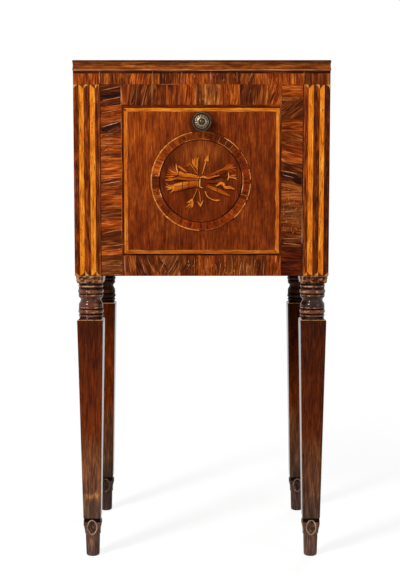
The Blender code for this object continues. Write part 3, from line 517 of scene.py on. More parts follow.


# Painted shade: a dark strip round the flap's gap, and a dark line of painted shadow that parts the
# crossbanding from the pilasters
openingShade = {"side": 0.0020, "top": 0.0034, "bottom": 0.0015, "over": 0.0005, "line": 0.0012,
               "tone": (0.70, 0.56, 0.50), "lineTone": (0.34, 0.28, 0.28), "lineLift": 0.0002}
bandHalf = openingHalf + openingShade["side"]
bandLow, bandHigh = openingLow - openingShade["bottom"], openingHigh + openingShade["top"]
stileOuter = postInner - openingShade["line"]

# Crossbanding round the opening, leaf by leaf after the photograph
crossbands = {
    "stileVeneerLeft": {"span": (-stileOuter, -bandHalf), "upright": True, "leaves": (
        (487, "ash", 2, 0.3), (495, "dark", 3, 0.5), (505, "light", 5, 0.8), (512, "mid", 6, 1.0),
        (533, "dark", 4, 1.2), (556, "light", 3, 0.6), (568, "dark", 1, 0.4), (602, "orange", 7, 0.8),
        (615.5, "mid", 10, 0.5), (643, "light", 3, 0.5), (686, "orange", 2, 0.4), (694, "dark", 12, 2.0),
        (704, "char", 12, 2.5), (730, "orange", 8, 2.0), (740.5, "dark", 8, 2.6), (750, "soot", 9, 1.8),
        (763, "char", 9, 0))},
    "stileVeneerRight": {"span": (bandHalf, stileOuter), "upright": True, "leaves": (
        (486, "ember", -4, 0.3), (504, "ember", -4, 0.4), (523, "char", 0, 0.3), (536, "brown", 1, 0.3),
        (550, "brown", 2, 0.3), (574, "ash", 2, 0.3), (596, "mid", 0, 0.2), (612, "mid", -14, -1.0),
        (625, "char", -12, -1.4), (641, "dark", -24, -2.0), (672, "orange", -16, 0.5),
        (690, "mid", -14, 0.4), (708.5, "orange", 0, 0), (738, "dark", 36, 0.6), (746, "brown", 3, 0),
        (763, "orange", 3, 0))},
    "railVeneerUpper": {"span": (bandHigh, friezeLow), "upright": False, "leaves": (
        (-113, "red", 88, 0.3), (-96, "dark", 80, 1.0), (-78, "brown", 80, 1.6), (-56, "brown", 90, 0.4),
        (-34, "red", 89, 0.3), (-8, "orange", 88, 0.3), (4, "grey", 89, 0.2), (29, "olive", 90, 0.2),
        (60, "orange", 91, 0.2), (80, "dark", 90, 0.3), (104, "mid", 84, 0.6), (125.9, "orange", 74, 0))},
    "railVeneerLower": {"span": (caseBottom, bandLow), "upright": False, "leaves": (
        (-104, "mid", 100, -0.8), (-82, "dark", 112, -2.4), (-64, "mid", 100, -0.6), (-34, "ash", 70, 0.4),
        (-9, "dark", 90, 0.2), (20, "orange", 90, 0.2), (40, "red", 92, 0.3), (84, "grey", 90, 0.4),
        (103, "brown", 90, 0.3), (125.9, "orange", 86, 0))},
}
for bandName, band in crossbands.items():
    bm = newMesh()
    ends = (caseBottom, friezeLow) if band["upright"] else (-bandHalf, bandHalf)
    addRow(bm, frontFace, band["span"], ends, band["leaves"], band["upright"])
    finishPiece(bandName, bm, crossVeneer, "case")

friezeBand = {"shadow": 0.0040, "shadowTone": (0.30, 0.26, 0.30), "over": 0.0004, "leaves": (
    (-160, "orange", 90, 0.1), (-124, "mid", 92, 0.2), (-113, "brown", 90, 0.2), (-80, "orange", 80, 0.5),
    (-66, "mid", 92, 0.2), (-43, "dark", 88, 0.3), (-30, "mid", 90, 0.2), (14, "orange", 92, 0.3),
    (46, "brown", 90, 0.2), (60, "dark", 90, 0.3), (84, "mid", 78, 0.2), (160, "orange", 90, 0.1),
    (201.6, "mid", 90, 0))}
bm = newMesh()
friezeHalf = halfWidth + friezeBand["over"]
addRow(bm, frontFace, (friezeLow, caseTop), (-friezeHalf, friezeHalf), friezeBand["leaves"], False)
friezeHalf += 0.0001
addLeaf(bm, frontFace, rectangle(-friezeHalf, caseTop - friezeBand["shadow"], friezeHalf, caseTop), 0,
        friezeBand["shadowTone"], leafSizes["raised"])
finishPiece("friezeVeneer", bm, crossVeneer, "case")

# The painted shade round the flap and the painted shadow lines beside the pilasters
bm = newMesh()
over = openingShade["over"]
for sign in (-1, 1):
    near, far = sorted((sign * (openingHalf - over), sign * (bandHalf - 0.0001)))
    addLeaf(bm, frontFace, rectangle(near, bandLow, far, bandHigh), 90, openingShade["tone"],
            leafSizes["raised"])
    near, far = sorted((sign * stileOuter, sign * postInner))
    addLeaf(bm, frontFace, rectangle(near, caseBottom, far, friezeLow), 90, openingShade["lineTone"],
            openingShade["lineLift"])
for low, high in ((openingHigh - over, bandHigh), (bandLow, openingLow)):
    addLeaf(bm, frontFace, rectangle(-openingHalf, low, openingHalf, high), 0, openingShade["tone"],
            leafSizes["raised"])
finishPiece("openingShade", bm, shadeVeneer, "case")
print("crossbanding laid")


# Raised slivers and open joints that show pale, partly a painted highlight of lifted edges: x, z to x, z in
# mm, width in mm
slivers = (
    (-156, 754, -127, 760, 0.9), (-155, 738, -125, 744, 1.0), (-156, 719, -134, 723, 0.8),
    (-156, 697, -126, 706, 0.9), (-155, 686, -139, 686, 0.6), (-156, 679, -140, 680, 0.6),
    (-156, 671, -138, 671, 0.5), (-155, 660, -141, 661, 0.6), (-155, 651, -140, 651, 0.5),
    (-156, 617, -127, 618, 0.6), (-156, 608, -128, 612, 0.7), (-154, 600, -130, 605, 0.6),
    (-153, 571, -127, 573, 0.8), (-156, 530, -125, 536, 0.9), (-155, 508, -125, 512, 0.9),
    (-155, 496.5, -128, 498, 0.6), (-155, 478, -128, 479, 0.4), (-140, 464, -127, 464, 0.6),
    (-126.6, 731, -126.4, 761, 1.2), (-126.4, 600, -126.5, 727, 0.4), (-126.4, 498, -126.5, 596, 0.35),
    (-104, 730, -101, 761, 0.6), (-94, 730, -86, 762, 0.8),
    (-78, 729, -77, 783, 0.7), (-9, 742, -8, 760, 1.0), (-160.2, 764, -160, 783, 0.7),
    (-66, 763.2, -33, 763.4, 0.6), (-57, 766, -56, 781, 0.5), (-33, 766, -31, 782, 0.7),
    (-24, 766, -22, 780, 0.7), (14.2, 765, 14, 783, 0.6), (56, 766, 55, 782, 0.6),
    (74, 768, 79, 781, 0.9), (160.2, 764, 160, 783, 0.6), (124.2, 700, 124, 761, 0.5),
    (125, 647, 134, 641, 0.7), (134, 641, 148, 638.4, 0.7),
    (125, 629, 150, 624, 0.9), (128, 622, 146, 617, 0.5), (126, 595.4, 158, 596, 0.5),
    (126, 521, 158, 522.4, 0.6), (130, 514, 157, 511, 0.8), (159.0, 514, 158.8, 574, 0.9),
    (-121.6, 463, -122, 494, 0.7), (-87, 490, -76, 468, 0.8), (-96, 490, -90, 466, 0.5),
    (-66, 470, -58, 488, 0.6), (-54, 467, -46, 476, 0.7), (-46, 476, -40, 488, 0.5),
    (-12, 464, -11, 492, 0.6), (8, 464, 9, 490, 0.6), (28, 463, 30, 482, 0.9), (46, 463, 49, 480, 0.9),
    (60, 464, 63, 484, 0.8), (71, 463, 72, 482, 0.9), (82, 464, 85, 490, 0.6), (98, 464, 99, 486, 0.6))
streaks = (  # broad dark streaks in the figure, given in the same way
    (128, 708, 157, 729, 4.4), (132, 722, 157, 743, 3.6), (128, 623, 157, 606, 5.2),
    (130, 632, 157, 621, 2.6), (127, 533, 157, 528, 2.6), (128, 514, 157, 517, 2.6),
    (127, 478, 157, 483, 4.4), (127, 709, 158, 709, 1.6),
    (-157, 691, -128, 703, 8.0), (-157, 682, -131, 690, 2.6), (-157, 745, -128, 748, 8.0),
    (-157, 564, -128, 566, 4.4), (-157, 522, -128, 529, 4.4), (-157, 488, -128, 492, 3.6),
    (-155, 728, -128, 739, 2.8), (129, 624, 157, 613, 9.0), (142, 618, 158, 608, 6.6),
    (-82, 488, -66, 465, 4.4), (-69, 489, -53, 468, 3.6), (-53, 465, -37, 488, 3.6),
    (-34, 468, -21, 486, 3.4), (-111, 733, -103, 756, 3.6), (-94, 733, -87, 756, 3.6),
    (-79, 733, -73, 756, 2.6), (64, 733, 66, 756, 4.4), (75, 733, 78, 756, 3.4),
    (107, 733, 116, 752, 2.6))
streakSizes = {"broad": 6.0, "edge": 0.00055, "core": 0.00026, "broadCore": 0.00038,
               "edgeLift": 0.00052, "coreLift": 0.00058, "sliverLift": 0.00066}


def laySliver(bm, ends, half, tone, lift):
    start, end = Vector(millimetres(*ends[:2])), Vector(millimetres(*ends[2:4]))
    side = Vector((start.y - end.y, end.x - start.x)).normalized() * half
    bow = side * looseness.uniform(-0.7, 0.7)
    third, twoThirds = start.lerp(end, 0.35) + bow, start.lerp(end, 0.7) + bow
    outline = [start - side * 0.5, third - side, twoThirds - side, end - side * 0.4,
               end + side * 0.4, twoThirds + side, third + side, start + side * 0.5]
    addLeaf(bm, frontFace, outline, heading(end - start), tone, lift, leafSizes["fineEase"])


bm = newMesh()
for index, streak in enumerate(streaks):
    isBroad = streak[4] > streakSizes["broad"]  # the broadest are nearly black
    rise = leafSizes["step"] * index
    laySliver(bm, streak, streak[4] * streakSizes["edge"], tones["char" if isBroad else "dark"],
              streakSizes["edgeLift"] + rise)
    laySliver(bm, streak, streak[4] * streakSizes["broadCore" if isBroad else "core"],
              tones["pitch" if isBroad else "char"], streakSizes["coreLift"] + rise)
finishPiece("veneerStreaks", bm, crossVeneer, "case")
# The pale slivers: pale wood, and partly a painted highlight where lifted edges catch the light
bm = newMesh()
for sliver in slivers:
    laySliver(bm, sliver, sliver[4] * streakSizes["edge"], sliverTone, streakSizes["sliverLift"])
finishPiece("veneerSlivers", bm, goldInlay, "case")

# Old wax and fine scratches that show pale: x, z to x, z in mm, how many, and the way they run
waxMarks = {
    "zones": ((128, 528, 157, 604, 110, 90), (-157, 638, -143, 684, 60, 0), (-24, 465, 100, 489, 100, 90),
              (-40, 766, 110, 779, 50, 90), (-12, 731, 60, 758, 50, 90)),
    "length": (1.0, 4.5), "half": (0.00015, 0.00040), "swing": 14, "lift": 0.00068, "step": 0.000003,
    "pale": (1.6, 2.4, 4.6), "paler": (2.1, 3.6, 8.5)}
waxChance = random.Random(47)
bm = newMesh()
for left, low, right, high, count, way in waxMarks["zones"]:
    for index in range(count):
        start = Vector((waxChance.uniform(left, right), waxChance.uniform(low, high)))
        turn = math.radians(way + waxChance.uniform(-waxMarks["swing"], waxMarks["swing"]))
        end = start + Vector((math.cos(turn), math.sin(turn))) * waxChance.uniform(*waxMarks["length"])
        end = Vector((min(end.x, right), min(end.y, high + 1)))
        tone = waxMarks[waxChance.choice(("pale", "paler"))]
        laySliver(bm, (*start, *end), waxChance.uniform(*waxMarks["half"]), tone,
                  waxMarks["lift"] + waxMarks["step"] * (index % 7))
finishPiece("waxMarks", bm, crossVeneer, "case")
print("slivers laid:", len(slivers))


# Pilasters: each flute is a dark half and a light half under one pointed arch
pilaster = {
    "joints": (0.0, 0.0086, 0.0165, 0.0259, 0.0342, 0.0394, 0.0412),  # from the outer edge, in metres
    "capGap": 0.0004, "footGap": 0.0006, "over": 0.0004, "archRise": 0.0072, "footRise": 0.0064,
    "archSteps": 6, "cornerWide": 0.0068, "cornerTall": 0.0070, "cornerTone": (1.02, 1.45, 5.0),
    "groundTone": (1.15, 0.95, 0.8), "groundLift": 0.0003, "lineTone": (1.45, 1.6, 2.8),
}
strips = list(zip(pilaster["joints"], pilaster["joints"][1:]))  # dark and light in turn, then the thin line
darkStrips, lightStrips, lineStrip = strips[0:5:2], strips[1:5:2], strips[5]


def archTops(apex, base, level, rise):  # half a pointed arch from its apex down to the springing
    steps = pilaster["archSteps"]
    return [(apex + (base - apex) * step / steps, level - rise * (step / steps) ** 1.6)
            for step in range(steps + 1)]


def halfFlute(apex, base, low, high):
    top = archTops(apex, base, high, pilaster["archRise"])
    bottom = archTops(apex, base, low, -pilaster["footRise"])
    return counterClockwise(bottom + top[::-1])


def layCorner(bm, face, corner, towards, level, down):  # the light spandrel beside a half arch
    wide, tall = pilaster["cornerWide"] * towards, pilaster["cornerTall"] * down
    outline = [(corner, level), (corner + wide, level), (corner + wide * 0.38, level - tall * 0.42),
               (corner, level - tall)]
    addLeaf(bm, face, counterClockwise(outline), 90, pilaster["cornerTone"], leafSizes["raised"])


def layPilaster(face, edge, inward, darkMesh, lightMesh, depths=(1.0, 1.0, 1.0), glow=1.0):
    low, high = caseBottom + pilaster["footGap"], friezeLow - pilaster["capGap"]

    def at(offset):
        return edge + inward * offset

    def layStrip(outer, inner, tone, lift=leafSizes["lift"]):
        addLeaf(darkMesh, face, counterClockwise(rectangle(outer, low, inner, high)), 90, tone, lift)

    for (outer, inner), depth in zip(darkStrips, depths):
        layStrip(at(outer + jointGap), at(inner - jointGap), (depth, 0.95 * depth, 0.9 * depth))
        for level, down in ((high, 1), (low, -1)):
            layCorner(lightMesh, face, at(outer + jointGap), inward, level, down)
    for outer, inner in lightStrips:
        outer, inner = at(outer + jointGap), at(inner - jointGap)
        layStrip(outer, inner, pilaster["groundTone"], pilaster["groundLift"])
        addLeaf(lightMesh, face, halfFlute(outer, inner, low, high), 90, (glow, glow, 0.96 * glow))
    layStrip(*(at(offset) for offset in lineStrip), pilaster["lineTone"])


frontPilasters = (("left", -1, (1.0, 1.0, 0.8), 1.16), ("right", 1, (0.46, 0.86, 1.3), 1.22))
for sideName, sign, depths, glow in frontPilasters:
    darkMesh, lightMesh = newMesh(), newMesh()
    layPilaster(frontFace, sign * (halfWidth + pilaster["over"]), -sign, darkMesh, lightMesh, depths, glow)
    finishPiece("pilasterShade." + sideName, darkMesh, shadeVeneer, "case")
    finishPiece("pilasterLight." + sideName, lightMesh, goldInlay, "case",
                (f"flute_{sideName}_outer", f"flute_{sideName}_inner"))

# Worm holes in the light strips, and then long dark pores
flecks = {"count": 26, "holes": 16, "inset": 0.0008, "low": 0.016, "high": 0.018, "lift": 0.00058,
          "holeWide": (0.0003, 0.0006), "holeTall": (0.0004, 0.0020), "holeTone": (1.3, 1.1, 0.8),
          "poreWide": (0.0003, 0.0009), "poreTall": (0.004, 0.011), "poreTone": (1.9, 1.9, 1.2)}
bm = newMesh()
fleckChance = random.Random(5)
for sign in (-1, 1):
    for outer, inner in lightStrips:
        for count in range(flecks["count"]):
            u = sign * (halfWidth - fleckChance.uniform(outer + flecks["inset"], inner - flecks["inset"]))
            v = fleckChance.uniform(caseBottom + flecks["low"], friezeLow - flecks["high"])
            wide, tall = fleckChance.uniform(*flecks["holeWide"]), fleckChance.uniform(*flecks["holeTall"])
            tone = flecks["holeTone"]
            if count >= flecks["holes"]:
                wide = fleckChance.uniform(*flecks["poreWide"])
                tall = fleckChance.uniform(*flecks["poreTall"])
                tone = flecks["poreTone"]
            addLeaf(bm, frontFace, [(u - wide, v), (u, v - tall), (u + wide, v), (u, v + tall)], 90, tone,
                    flecks["lift"] + leafSizes["step"] * count, leafSizes["fineEase"])
finishPiece("fluteFlecks", bm, shadeVeneer, "case")
print("pilasters laid")


# Flap: field, stringing, medallion
flapSizes = {
    "stringing": 0.0066, "lineRadius": 0.0790, "lineWidth": 0.0016, "ringOuter": 0.0776,
    "ringInner": 0.0652, "grooveWidth": 0.0009, "segments": 44, "squash": 0.988, "ringX": -0.0014,
    "under": 0.0040, "fieldSteps": 104, "fieldLift": 0.0003, "groundLift": 0.00045, "knobShadowReach": 0.0240,
}


fieldMottle = ((0.35, 14, 9, 3.1), (0.48, 46, 24, 8.3), (0.50, 115, 70, 5.7), (0.60, 230, 150, 2.2))
knobShadowShift = (0.002, -0.001)  # from the middle of the knob


def fieldTone(u, v):  # lighter and warmer towards the upper left, with a painted shadow round the knob
    warm = 0.42 - 2.5 * u + (3.0 - 34 * u) * (v - flapMiddle)
    for gain, across, along, number in fieldMottle:
        warm += gain * noise.noise((u * across, v * along, number))
    # A dark halo round the knob, broader to its right: painted shadow of the knob
    reach = math.hypot(u - knobShadowShift[0], v - knobLevel - knobShadowShift[1])
    strength = (0.80 + 0.46 * warm) * (1 - 0.70 * math.exp(-(reach / flapSizes["knobShadowReach"]) ** 4))
    grey = 0.5 * max(0.0, noise.noise((u * 34, v * 26, 6.6)))  # faded in patches
    return (strength * (1 + 0.10 * grey), strength * (0.92 + 0.08 * warm + 0.40 * grey),
            strength * (1.0 - 0.12 * warm + 1.0 * grey))


inset = flapSizes["stringing"] - flapSizes["under"]  # the field runs on below the stringing
bm = newMesh()
addSheet(bm, frontFace, (inset - flapHigh.x, flapLow.z + inset, flapHigh.x - inset, flapHigh.z - inset),
         flapSizes["fieldSteps"], 90, fieldTone, flapSizes["fieldLift"])
finishPiece("flapField", bm, redVeneer, "flap")


def circlePoints(radius, start, end, steps):
    turns = [math.radians(start + (end - start) * step / steps) for step in range(steps + 1)]
    return [(flapSizes["ringX"] + radius * math.cos(turn),
             flapMiddle + flapSizes["squash"] * radius * math.sin(turn)) for turn in turns]


def layArc(bm, inner, outer, start, end, steps, grain, tone, lift, ease=leafSizes["ease"]):
    outline = circlePoints(outer, start, end, steps) + circlePoints(inner, start, end, steps)[::-1]
    addLeaf(bm, frontFace, outline, grain, tone, lift, ease)


discLook = {  # the disc of the medallion: tone and its gain in the pale patch, patches as x, z and reaches
    "tone": (0.78, 0.66, 0.58), "paleGain": (0.62, 1.5, 3.2), "darkLoss": 0.35,
    "pale": (0.0, 0.044, 0.032, 0.018), "dark": (-0.046, 0.026, 0.016, 0.022), "steps": 60,
    "rings": (1.0, 0.994, 0.92, 0.84, 0.76, 0.68, 0.60, 0.52, 0.44, 0.36, 0.28, 0.2, 0.1)}


def patchAt(u, v, patch):
    middleU, middleV, wide, tall = patch
    return math.exp(-((u - middleU) / wide) ** 2 - ((v - middleV) / tall) ** 2)


def groundTone(u, v):  # paler near the top, darker on the left
    v -= flapMiddle
    pale, dark = patchAt(u, v, discLook["pale"]), patchAt(u, v, discLook["dark"])
    mottle = 0.97 + 0.5 * noise.noise((u * 60, v * 42, 4.4))
    return [part * mottle * (1 + gain * pale - discLook["darkLoss"] * dark)
            for part, gain in zip(discLook["tone"], discLook["paleGain"])]


bm = newMesh()
rings = []
for share in discLook["rings"]:
    level = -leafSizes["sink"] if share == 1.0 else flapSizes["groundLift"]
    rings.append([addLeafVert(bm, frontFace, spot, level, 90, 0.62, groundTone(*spot))
                  for spot in circlePoints(flapSizes["ringInner"] * share, 0, 360, discLook["steps"])[:-1]])
joinRings(bm, rings, capStart=False)
finishPiece("medallionGround", bm, redVeneer, "flap")

ringZones = (  # end in degrees anticlockwise from the right, tone, joints that show
    (16, (1.00, 0.76, 0.64), "dark"), (40, (0.80, 0.62, 0.54), "dark"), (68, (0.66, 0.56, 0.52), "pale"),
    (112, (1.02, 1.00, 0.96), "dark"), (150, (1.45, 1.45, 1.2), ""), (173, (1.95, 1.95, 1.5), "pale"),
    (187, (0.70, 0.62, 0.66), ""), (202, (1.70, 1.90, 2.2), "dark"), (214, (1.05, 0.90, 0.78), "dark"),
    (248, (1.00, 0.86, 0.76), "dark"), (300, (1.16, 0.90, 0.68), "dark"), (334, (1.45, 1.30, 1.0), "dark"),
    (346, (0.70, 0.60, 0.58), "pale"), (360, (1.00, 0.76, 0.64), "dark"))
ringLifts = {"leaf": 0.00055, "joint": 0.00062, "groove": 0.00048, "edge": 0.00040, "step": 0.000004,
             "lineStep": 0.00003}
# The groove and edge tones are the painted shade and painted shadow round the ring
ringTones = {"tick": (0.42, 0.33, 0.34), "groove": (0.10, 0.08, 0.09), "edge": (0.50, 0.44, 0.44),
             "line": (1.02, 1.24, 4.4)}
ringCuts = {"waver": 1.8, "gap": 0.1, "jointHalf": 0.24, "jointShort": 0.005, "drift": (0.85, 1.15),
            "tickRoom": 0.8, "tickWide": (0.4, 0.9), "tickLong": (0.002, 0.006), "tickEase": 0.00003}
ring, joints, ticks = newMesh(), newMesh(), newMesh()
start = 0.0
ringChance = random.Random(21)
ringInner, ringOuter = flapSizes["ringInner"] + flapSizes["grooveWidth"], flapSizes["ringOuter"]
for index in range(flapSizes["segments"]):
    end = 360.0 * (index + 1) / flapSizes["segments"]
    if index < flapSizes["segments"] - 1:
        end += ringChance.uniform(-ringCuts["waver"], ringCuts["waver"])
    tone, joint = next(zone[1:] for zone in ringZones if (start + end) / 2 <= zone[0])
    drift = ringChance.uniform(*ringCuts["drift"])
    layArc(ring, ringInner, ringOuter, start + ringCuts["gap"], end - ringCuts["gap"], 4, (start + end) / 2,
           [part * drift for part in tone], ringLifts["leaf"])
    reach = ringOuter - ringChance.uniform(0.0, ringCuts["jointShort"])
    if joint == "pale":  # an opened joint shows pale
        layArc(joints, ringInner, reach, end - ringCuts["jointHalf"], end + ringCuts["jointHalf"], 1, end,
               sliverTone, ringLifts["joint"])
    for count in range(4 if joint == "dark" else 2):  # dirt in the pores
        spot = ringChance.uniform(start, end - ringCuts["tickRoom"])
        near = ringChance.uniform(ringInner + 0.001, ringInner + 0.0055)
        far = min(near + ringChance.uniform(*ringCuts["tickLong"]), ringOuter - 0.001)
        layArc(ticks, near, far, spot, spot + ringChance.uniform(*ringCuts["tickWide"]), 1, spot,
               ringTones["tick"], ringLifts["joint"] + leafSizes["step"] * count, ringCuts["tickEase"])
    start = end
finishPiece("medallionRing", ring, redVeneer, "flap", ("medallion_ring",))
finishPiece("medallionTicks", ticks, shadeVeneer, "flap")

# Painted shade in the groove inside the ring, wider in places: start, end, depth in mm. A thin painted shadow
# runs outside the line
grooveShadeArcs = ((0, 90, 0.4), (90, 180, 0.4), (180, 270, 0.4), (270, 360, 0.4), (122, 178, 1.0),
              (180, 236, 1.3), (300, 356, 1.4), (358, 408, 1.0))
lineShadowArcs = ((0, 120, 0.9), (120, 240, 0.6), (240, 360, 1.0))
bm = newMesh()
for index, (start, end, deep) in enumerate(grooveShadeArcs):
    layArc(bm, flapSizes["ringInner"] - deep / 1000, ringInner, start, end, 20, 0, ringTones["groove"],
           ringLifts["groove"] + ringLifts["step"] * index)
edgeOuter = flapSizes["lineRadius"] + 0.0004
for index, (start, end, deep) in enumerate(lineShadowArcs):
    layArc(bm, edgeOuter - 0.001, edgeOuter + deep / 1000, start, end, 30, 0, ringTones["edge"],
           ringLifts["edge"] + ringLifts["step"] * index)
finishPiece("medallionGrooveShade", bm, shadeVeneer, "flap")

# The thin line is whole on the left and broken elsewhere: start, end, share of its width
lineArcs = {
    flapSizes["lineRadius"] - 0.0006: (
        (100, 268, 1.0), (164, 186, 1.3), (208, 240, 1.3), (2, 14, 0.9), (20, 36, 0.5), (40, 62, 0.9),
        (74, 88, 0.35), (275, 296, 0.3), (312, 334, 0.9), (338, 357, 0.9)),
    flapSizes["ringInner"] + 0.0016: (
        (152, 173, 1.0), (192, 202, 0.9), (344, 372, 0.8), (42, 66, 0.6), (78, 112, 0.5))}
for radius, arcs in lineArcs.items():
    for start, end, share in arcs:
        width = flapSizes["lineWidth"] * share
        layArc(joints, radius - width / 2, radius + width / 2, start, end, max(4, int((end - start) / 4)), 0,
               ringTones["line"], leafSizes["raised"] + ringLifts["lineStep"] * share)
finishPiece("medallionLine", joints, goldInlay, "flap", ("medallion_line",))

stringingCuts = {"joint": 0.0002, "trim": 0.0004, "waver": 0.0011, "count": 16}
stringingChance = random.Random(11)


def stringingStrip(bm, start, end, inward, tone):
    # A strip between two outer corners, its inner edge cut by hand
    start, end, inward = Vector(start), Vector(end), Vector(inward)
    along = (end - start).normalized()
    wide = flapSizes["stringing"] - stringingCuts["trim"]
    outline = [start + along * stringingCuts["joint"], end - along * stringingCuts["joint"]]
    inner = []
    cuts = stringingCuts["count"]
    for step in range(cuts + 1):
        width = wide - (0.0 if step in (0, cuts) else stringingChance.uniform(0.0, stringingCuts["waver"]))
        inner.append((start + along * wide).lerp(end - along * wide, step / cuts) + inward * width)
    outline = [tuple(p) for p in outline + inner[::-1]]
    addLeaf(bm, frontFace, counterClockwise(outline), heading(along), tone)


bm = newMesh()
topLeft, topRight = (flapLow.x, flapHigh.z), (flapHigh.x, flapHigh.z)
bottomLeft, bottomRight = (flapLow.x, flapLow.z), (flapHigh.x, flapLow.z)
stringingStrip(bm, topLeft, topRight, (0, -1), (1.04, 1.04, 1.45))
stringingStrip(bm, bottomLeft, bottomRight, (0, 1), (0.72, 0.62, 1.0))
stringingStrip(bm, bottomLeft, topLeft, (1, 0), (0.94, 0.86, 1.2))
stringingStrip(bm, bottomRight, topRight, (-1, 0), (0.98, 0.86, 1.1))
finishPiece("flapStringing", bm, goldInlay, "flap",
            ("stringing_top", "stringing_bottom", "stringing_left", "stringing_right"))

nicks = {  # corners where the strips have chipped: x, z, half width and half height in mm
    "places": ((-120.6, 723.6, 1.6, 2.2), (115.6, 724.4, 1.9, 0.6), (-114.6, 500.6, 0.5, 3.0),
               (117.0, 501.0, 0.4, 2.8), (-119.6, 609.0, 1.0, 0.8), (-118.4, 517.0, 0.8, 1.6)),
    "shape": ((-1, -0.4), (-0.3, -1), (0.8, -0.7), (1, 0.5), (0.2, 1), (-0.8, 0.8)),
    "tone": (0.8, 0.6, 0.5), "lift": 0.00056}
bm = newMesh()
for place in nicks["places"]:
    x, z, wide, tall = millimetres(*place)
    addLeaf(bm, frontFace, [(x + wide * u, z + tall * v) for u, v in nicks["shape"]], 90, nicks["tone"],
            nicks["lift"], leafSizes["fineEase"])
finishPiece("stringingNicks", bm, shadeVeneer, "flap")
print("flap laid")


# Trophy of quivers, torch and arrows in light wood, in mm from the middle of the medallion

def strokeOutline(points, widths):
    points = [Vector(p) for p in points]
    left, right = [], []
    for index, here in enumerate(points):
        before = points[max(0, index - 1)]
        after = points[min(len(points) - 1, index + 1)]
        ahead = (after - before).normalized()
        side = Vector((-ahead.y, ahead.x)) * (widths[index] / 2)
        left.append(here + side)
        right.append(here - side)
    return counterClockwise([tuple(p) for p in right + left[::-1]])


def easeCurve(values, steps):  # a smooth run through the given numbers
    run = []
    last = len(values) - 1
    for step in range(steps + 1):
        place = last * step / steps
        index = min(int(place), last - 1)
        t = place - index
        a, b, c, d = (values[min(max(index + shift, 0), last)] for shift in (-1, 0, 1, 2))
        run.append(0.5 * (2 * b + (c - a) * t + (2 * a - 5 * b + 4 * c - d) * t * t
                          + (3 * b - a - 3 * c + d) * t ** 3))
    return run


def layStroke(bm, points, widths, tone, lift):
    steps = 4 * (len(points) - 1)
    curve = list(zip(easeCurve([p[0] for p in points], steps), easeCurve([p[1] for p in points], steps)))
    thick = [max(0.3, width) for width in easeCurve(widths, steps)]
    outline = [(u / 1000, flapMiddle + v / 1000) for u, v in strokeOutline(curve, thick)]
    addLeaf(bm, frontFace, outline, heading(Vector(points[-1]) - Vector(points[0])), tone, lift, 0.00005)


amber, gold, tan = (0.62, 0.42, 0.38), (0.96, 0.86, 1.0), (1.12, 1.36, 3.8)
# The second dark tone serves engraved cuts and painted shadows, the third painted shade between the pieces
rust, cutAndShadowTone, gapShadeTone = (0.48, 0.26, 0.20), (0.30, 0.25, 0.30), (0.22, 0.20, 0.26)
trophyStrokes = (
    # two quivers to the left
    (((-4, 6), (-16, 8), (-26, 9), (-36, 13)), (4.5, 6, 6, 7), gold),
    (((-5, 3), (-20, 3), (-34, 5), (-44, 4)), (3, 4.5, 5, 3), amber),
    (((-5, -2), (-20, -5), (-34, -8), (-46, -11)), (8, 10.5, 12, 10), amber),
    (((-8, 1), (-22, -2.5), (-36, -5), (-48, -7)), (1.4, 3.4, 4.4, 3), gold),
    (((-7, -6.5), (-24, -10.5), (-42, -15.5)), (1.6, 3.4, 2.0), rust),
    (((-19, 10), (-28, 17), (-37, 24)), (2.4, 3, 2.6), gold),
    (((-8, 8), (-17, 11), (-20, 10)), (1.2, 2.4, 1.0), tan),
    # torch to the right
    (((4, 5), (14, 7), (26, 13), (38, 19)), (3, 4.5, 5.5, 6.5), rust),
    (((8, 4), (20, 7), (28, 9)), (1.4, 3.2, 1.0), gold),
    (((42, 14), (42.5, 8), (41, 1)), (1.0, 1.6, 1.0), tan),
    (((8, 8.5), (22, 14), (37, 21.5)), (1.0, 1.8, 1.6), amber),
    # ribbon to the lower right
    (((9, -8), (20, -11), (34, -18), (46, -24)), (3, 7, 5, 0.9), amber),
    (((12, -10), (26, -16), (42, -22)), (0.9, 1.6, 0.6), gold),
    (((23, -8), (29, -3.5), (34, -4.5), (37, -10), (44, -10), (52, -12.5)),
     (1.4, 4.5, 5, 3.4, 5, 0.9), gold),
    (((27, -4), (33, -3.4), (37, -8.4), (45, -8.6)), (0.6, 1.0, 1.0, 0.5), tan),
    # arrows above and below
    (((-8, 12), (-15, 23), (-20, 29)), (1.2, 1.5, 1.4), gold),
    (((-6, 8), (-7, 18), (-8, 24)), (1.6, 1.8, 2.4), amber),
    (((-7, 19), (-8, 27), (-8.5, 36)), (2.0, 6.0, 7.0), gold),
    (((-10, 9), (-11, 14)), (1.4, 0.6), amber),
    (((1, 11), (4, 22), (7, 33)), (1.0, 1.3, 1.2), tan),
    (((4.5, 31), (8.5, 35), (10.5, 41)), (2.6, 4.6, 0.5), gold),
    (((10.5, 30.5), (9.4, 35), (10.5, 41)), (0.6, 3.0, 0.5), tan),
    (((-7, -12), (-11, -21), (-15, -30)), (1.2, 1.4, 1.6), gold),
    (((-5, -12), (-3, -22), (-2, -32)), (1.0, 1.2, 1.2), gold),
    (((-2, -41), (-3.5, -36), (-6.5, -32)), (0.5, 2.6, 0.7), gold),
    (((-2, -41), (-0.5, -36), (2.5, -30.5)), (0.5, 2.6, 0.7), tan),
    (((5.5, -16), (9, -24), (17, -29), (24, -30)), (1.6, 1.4, 1.2, 1.0), tan),
    (((20, -30.5), (24, -30), (30, -29.5)), (1.0, 2.8, 0.5), gold),
    # knot
    (((-7, 5), (-6, -1), (-7, -9)), (2.0, 2.6, 2.0), amber),
    (((-2.6, 3), (-3.4, -3), (-2.6, -9), (1.5, -10.5)), (2.0, 2.2, 1.8, 1.0), tan),
    (((-3, 5), (2, 7), (9, 5)), (2.0, 3.0, 1.2), tan),
)
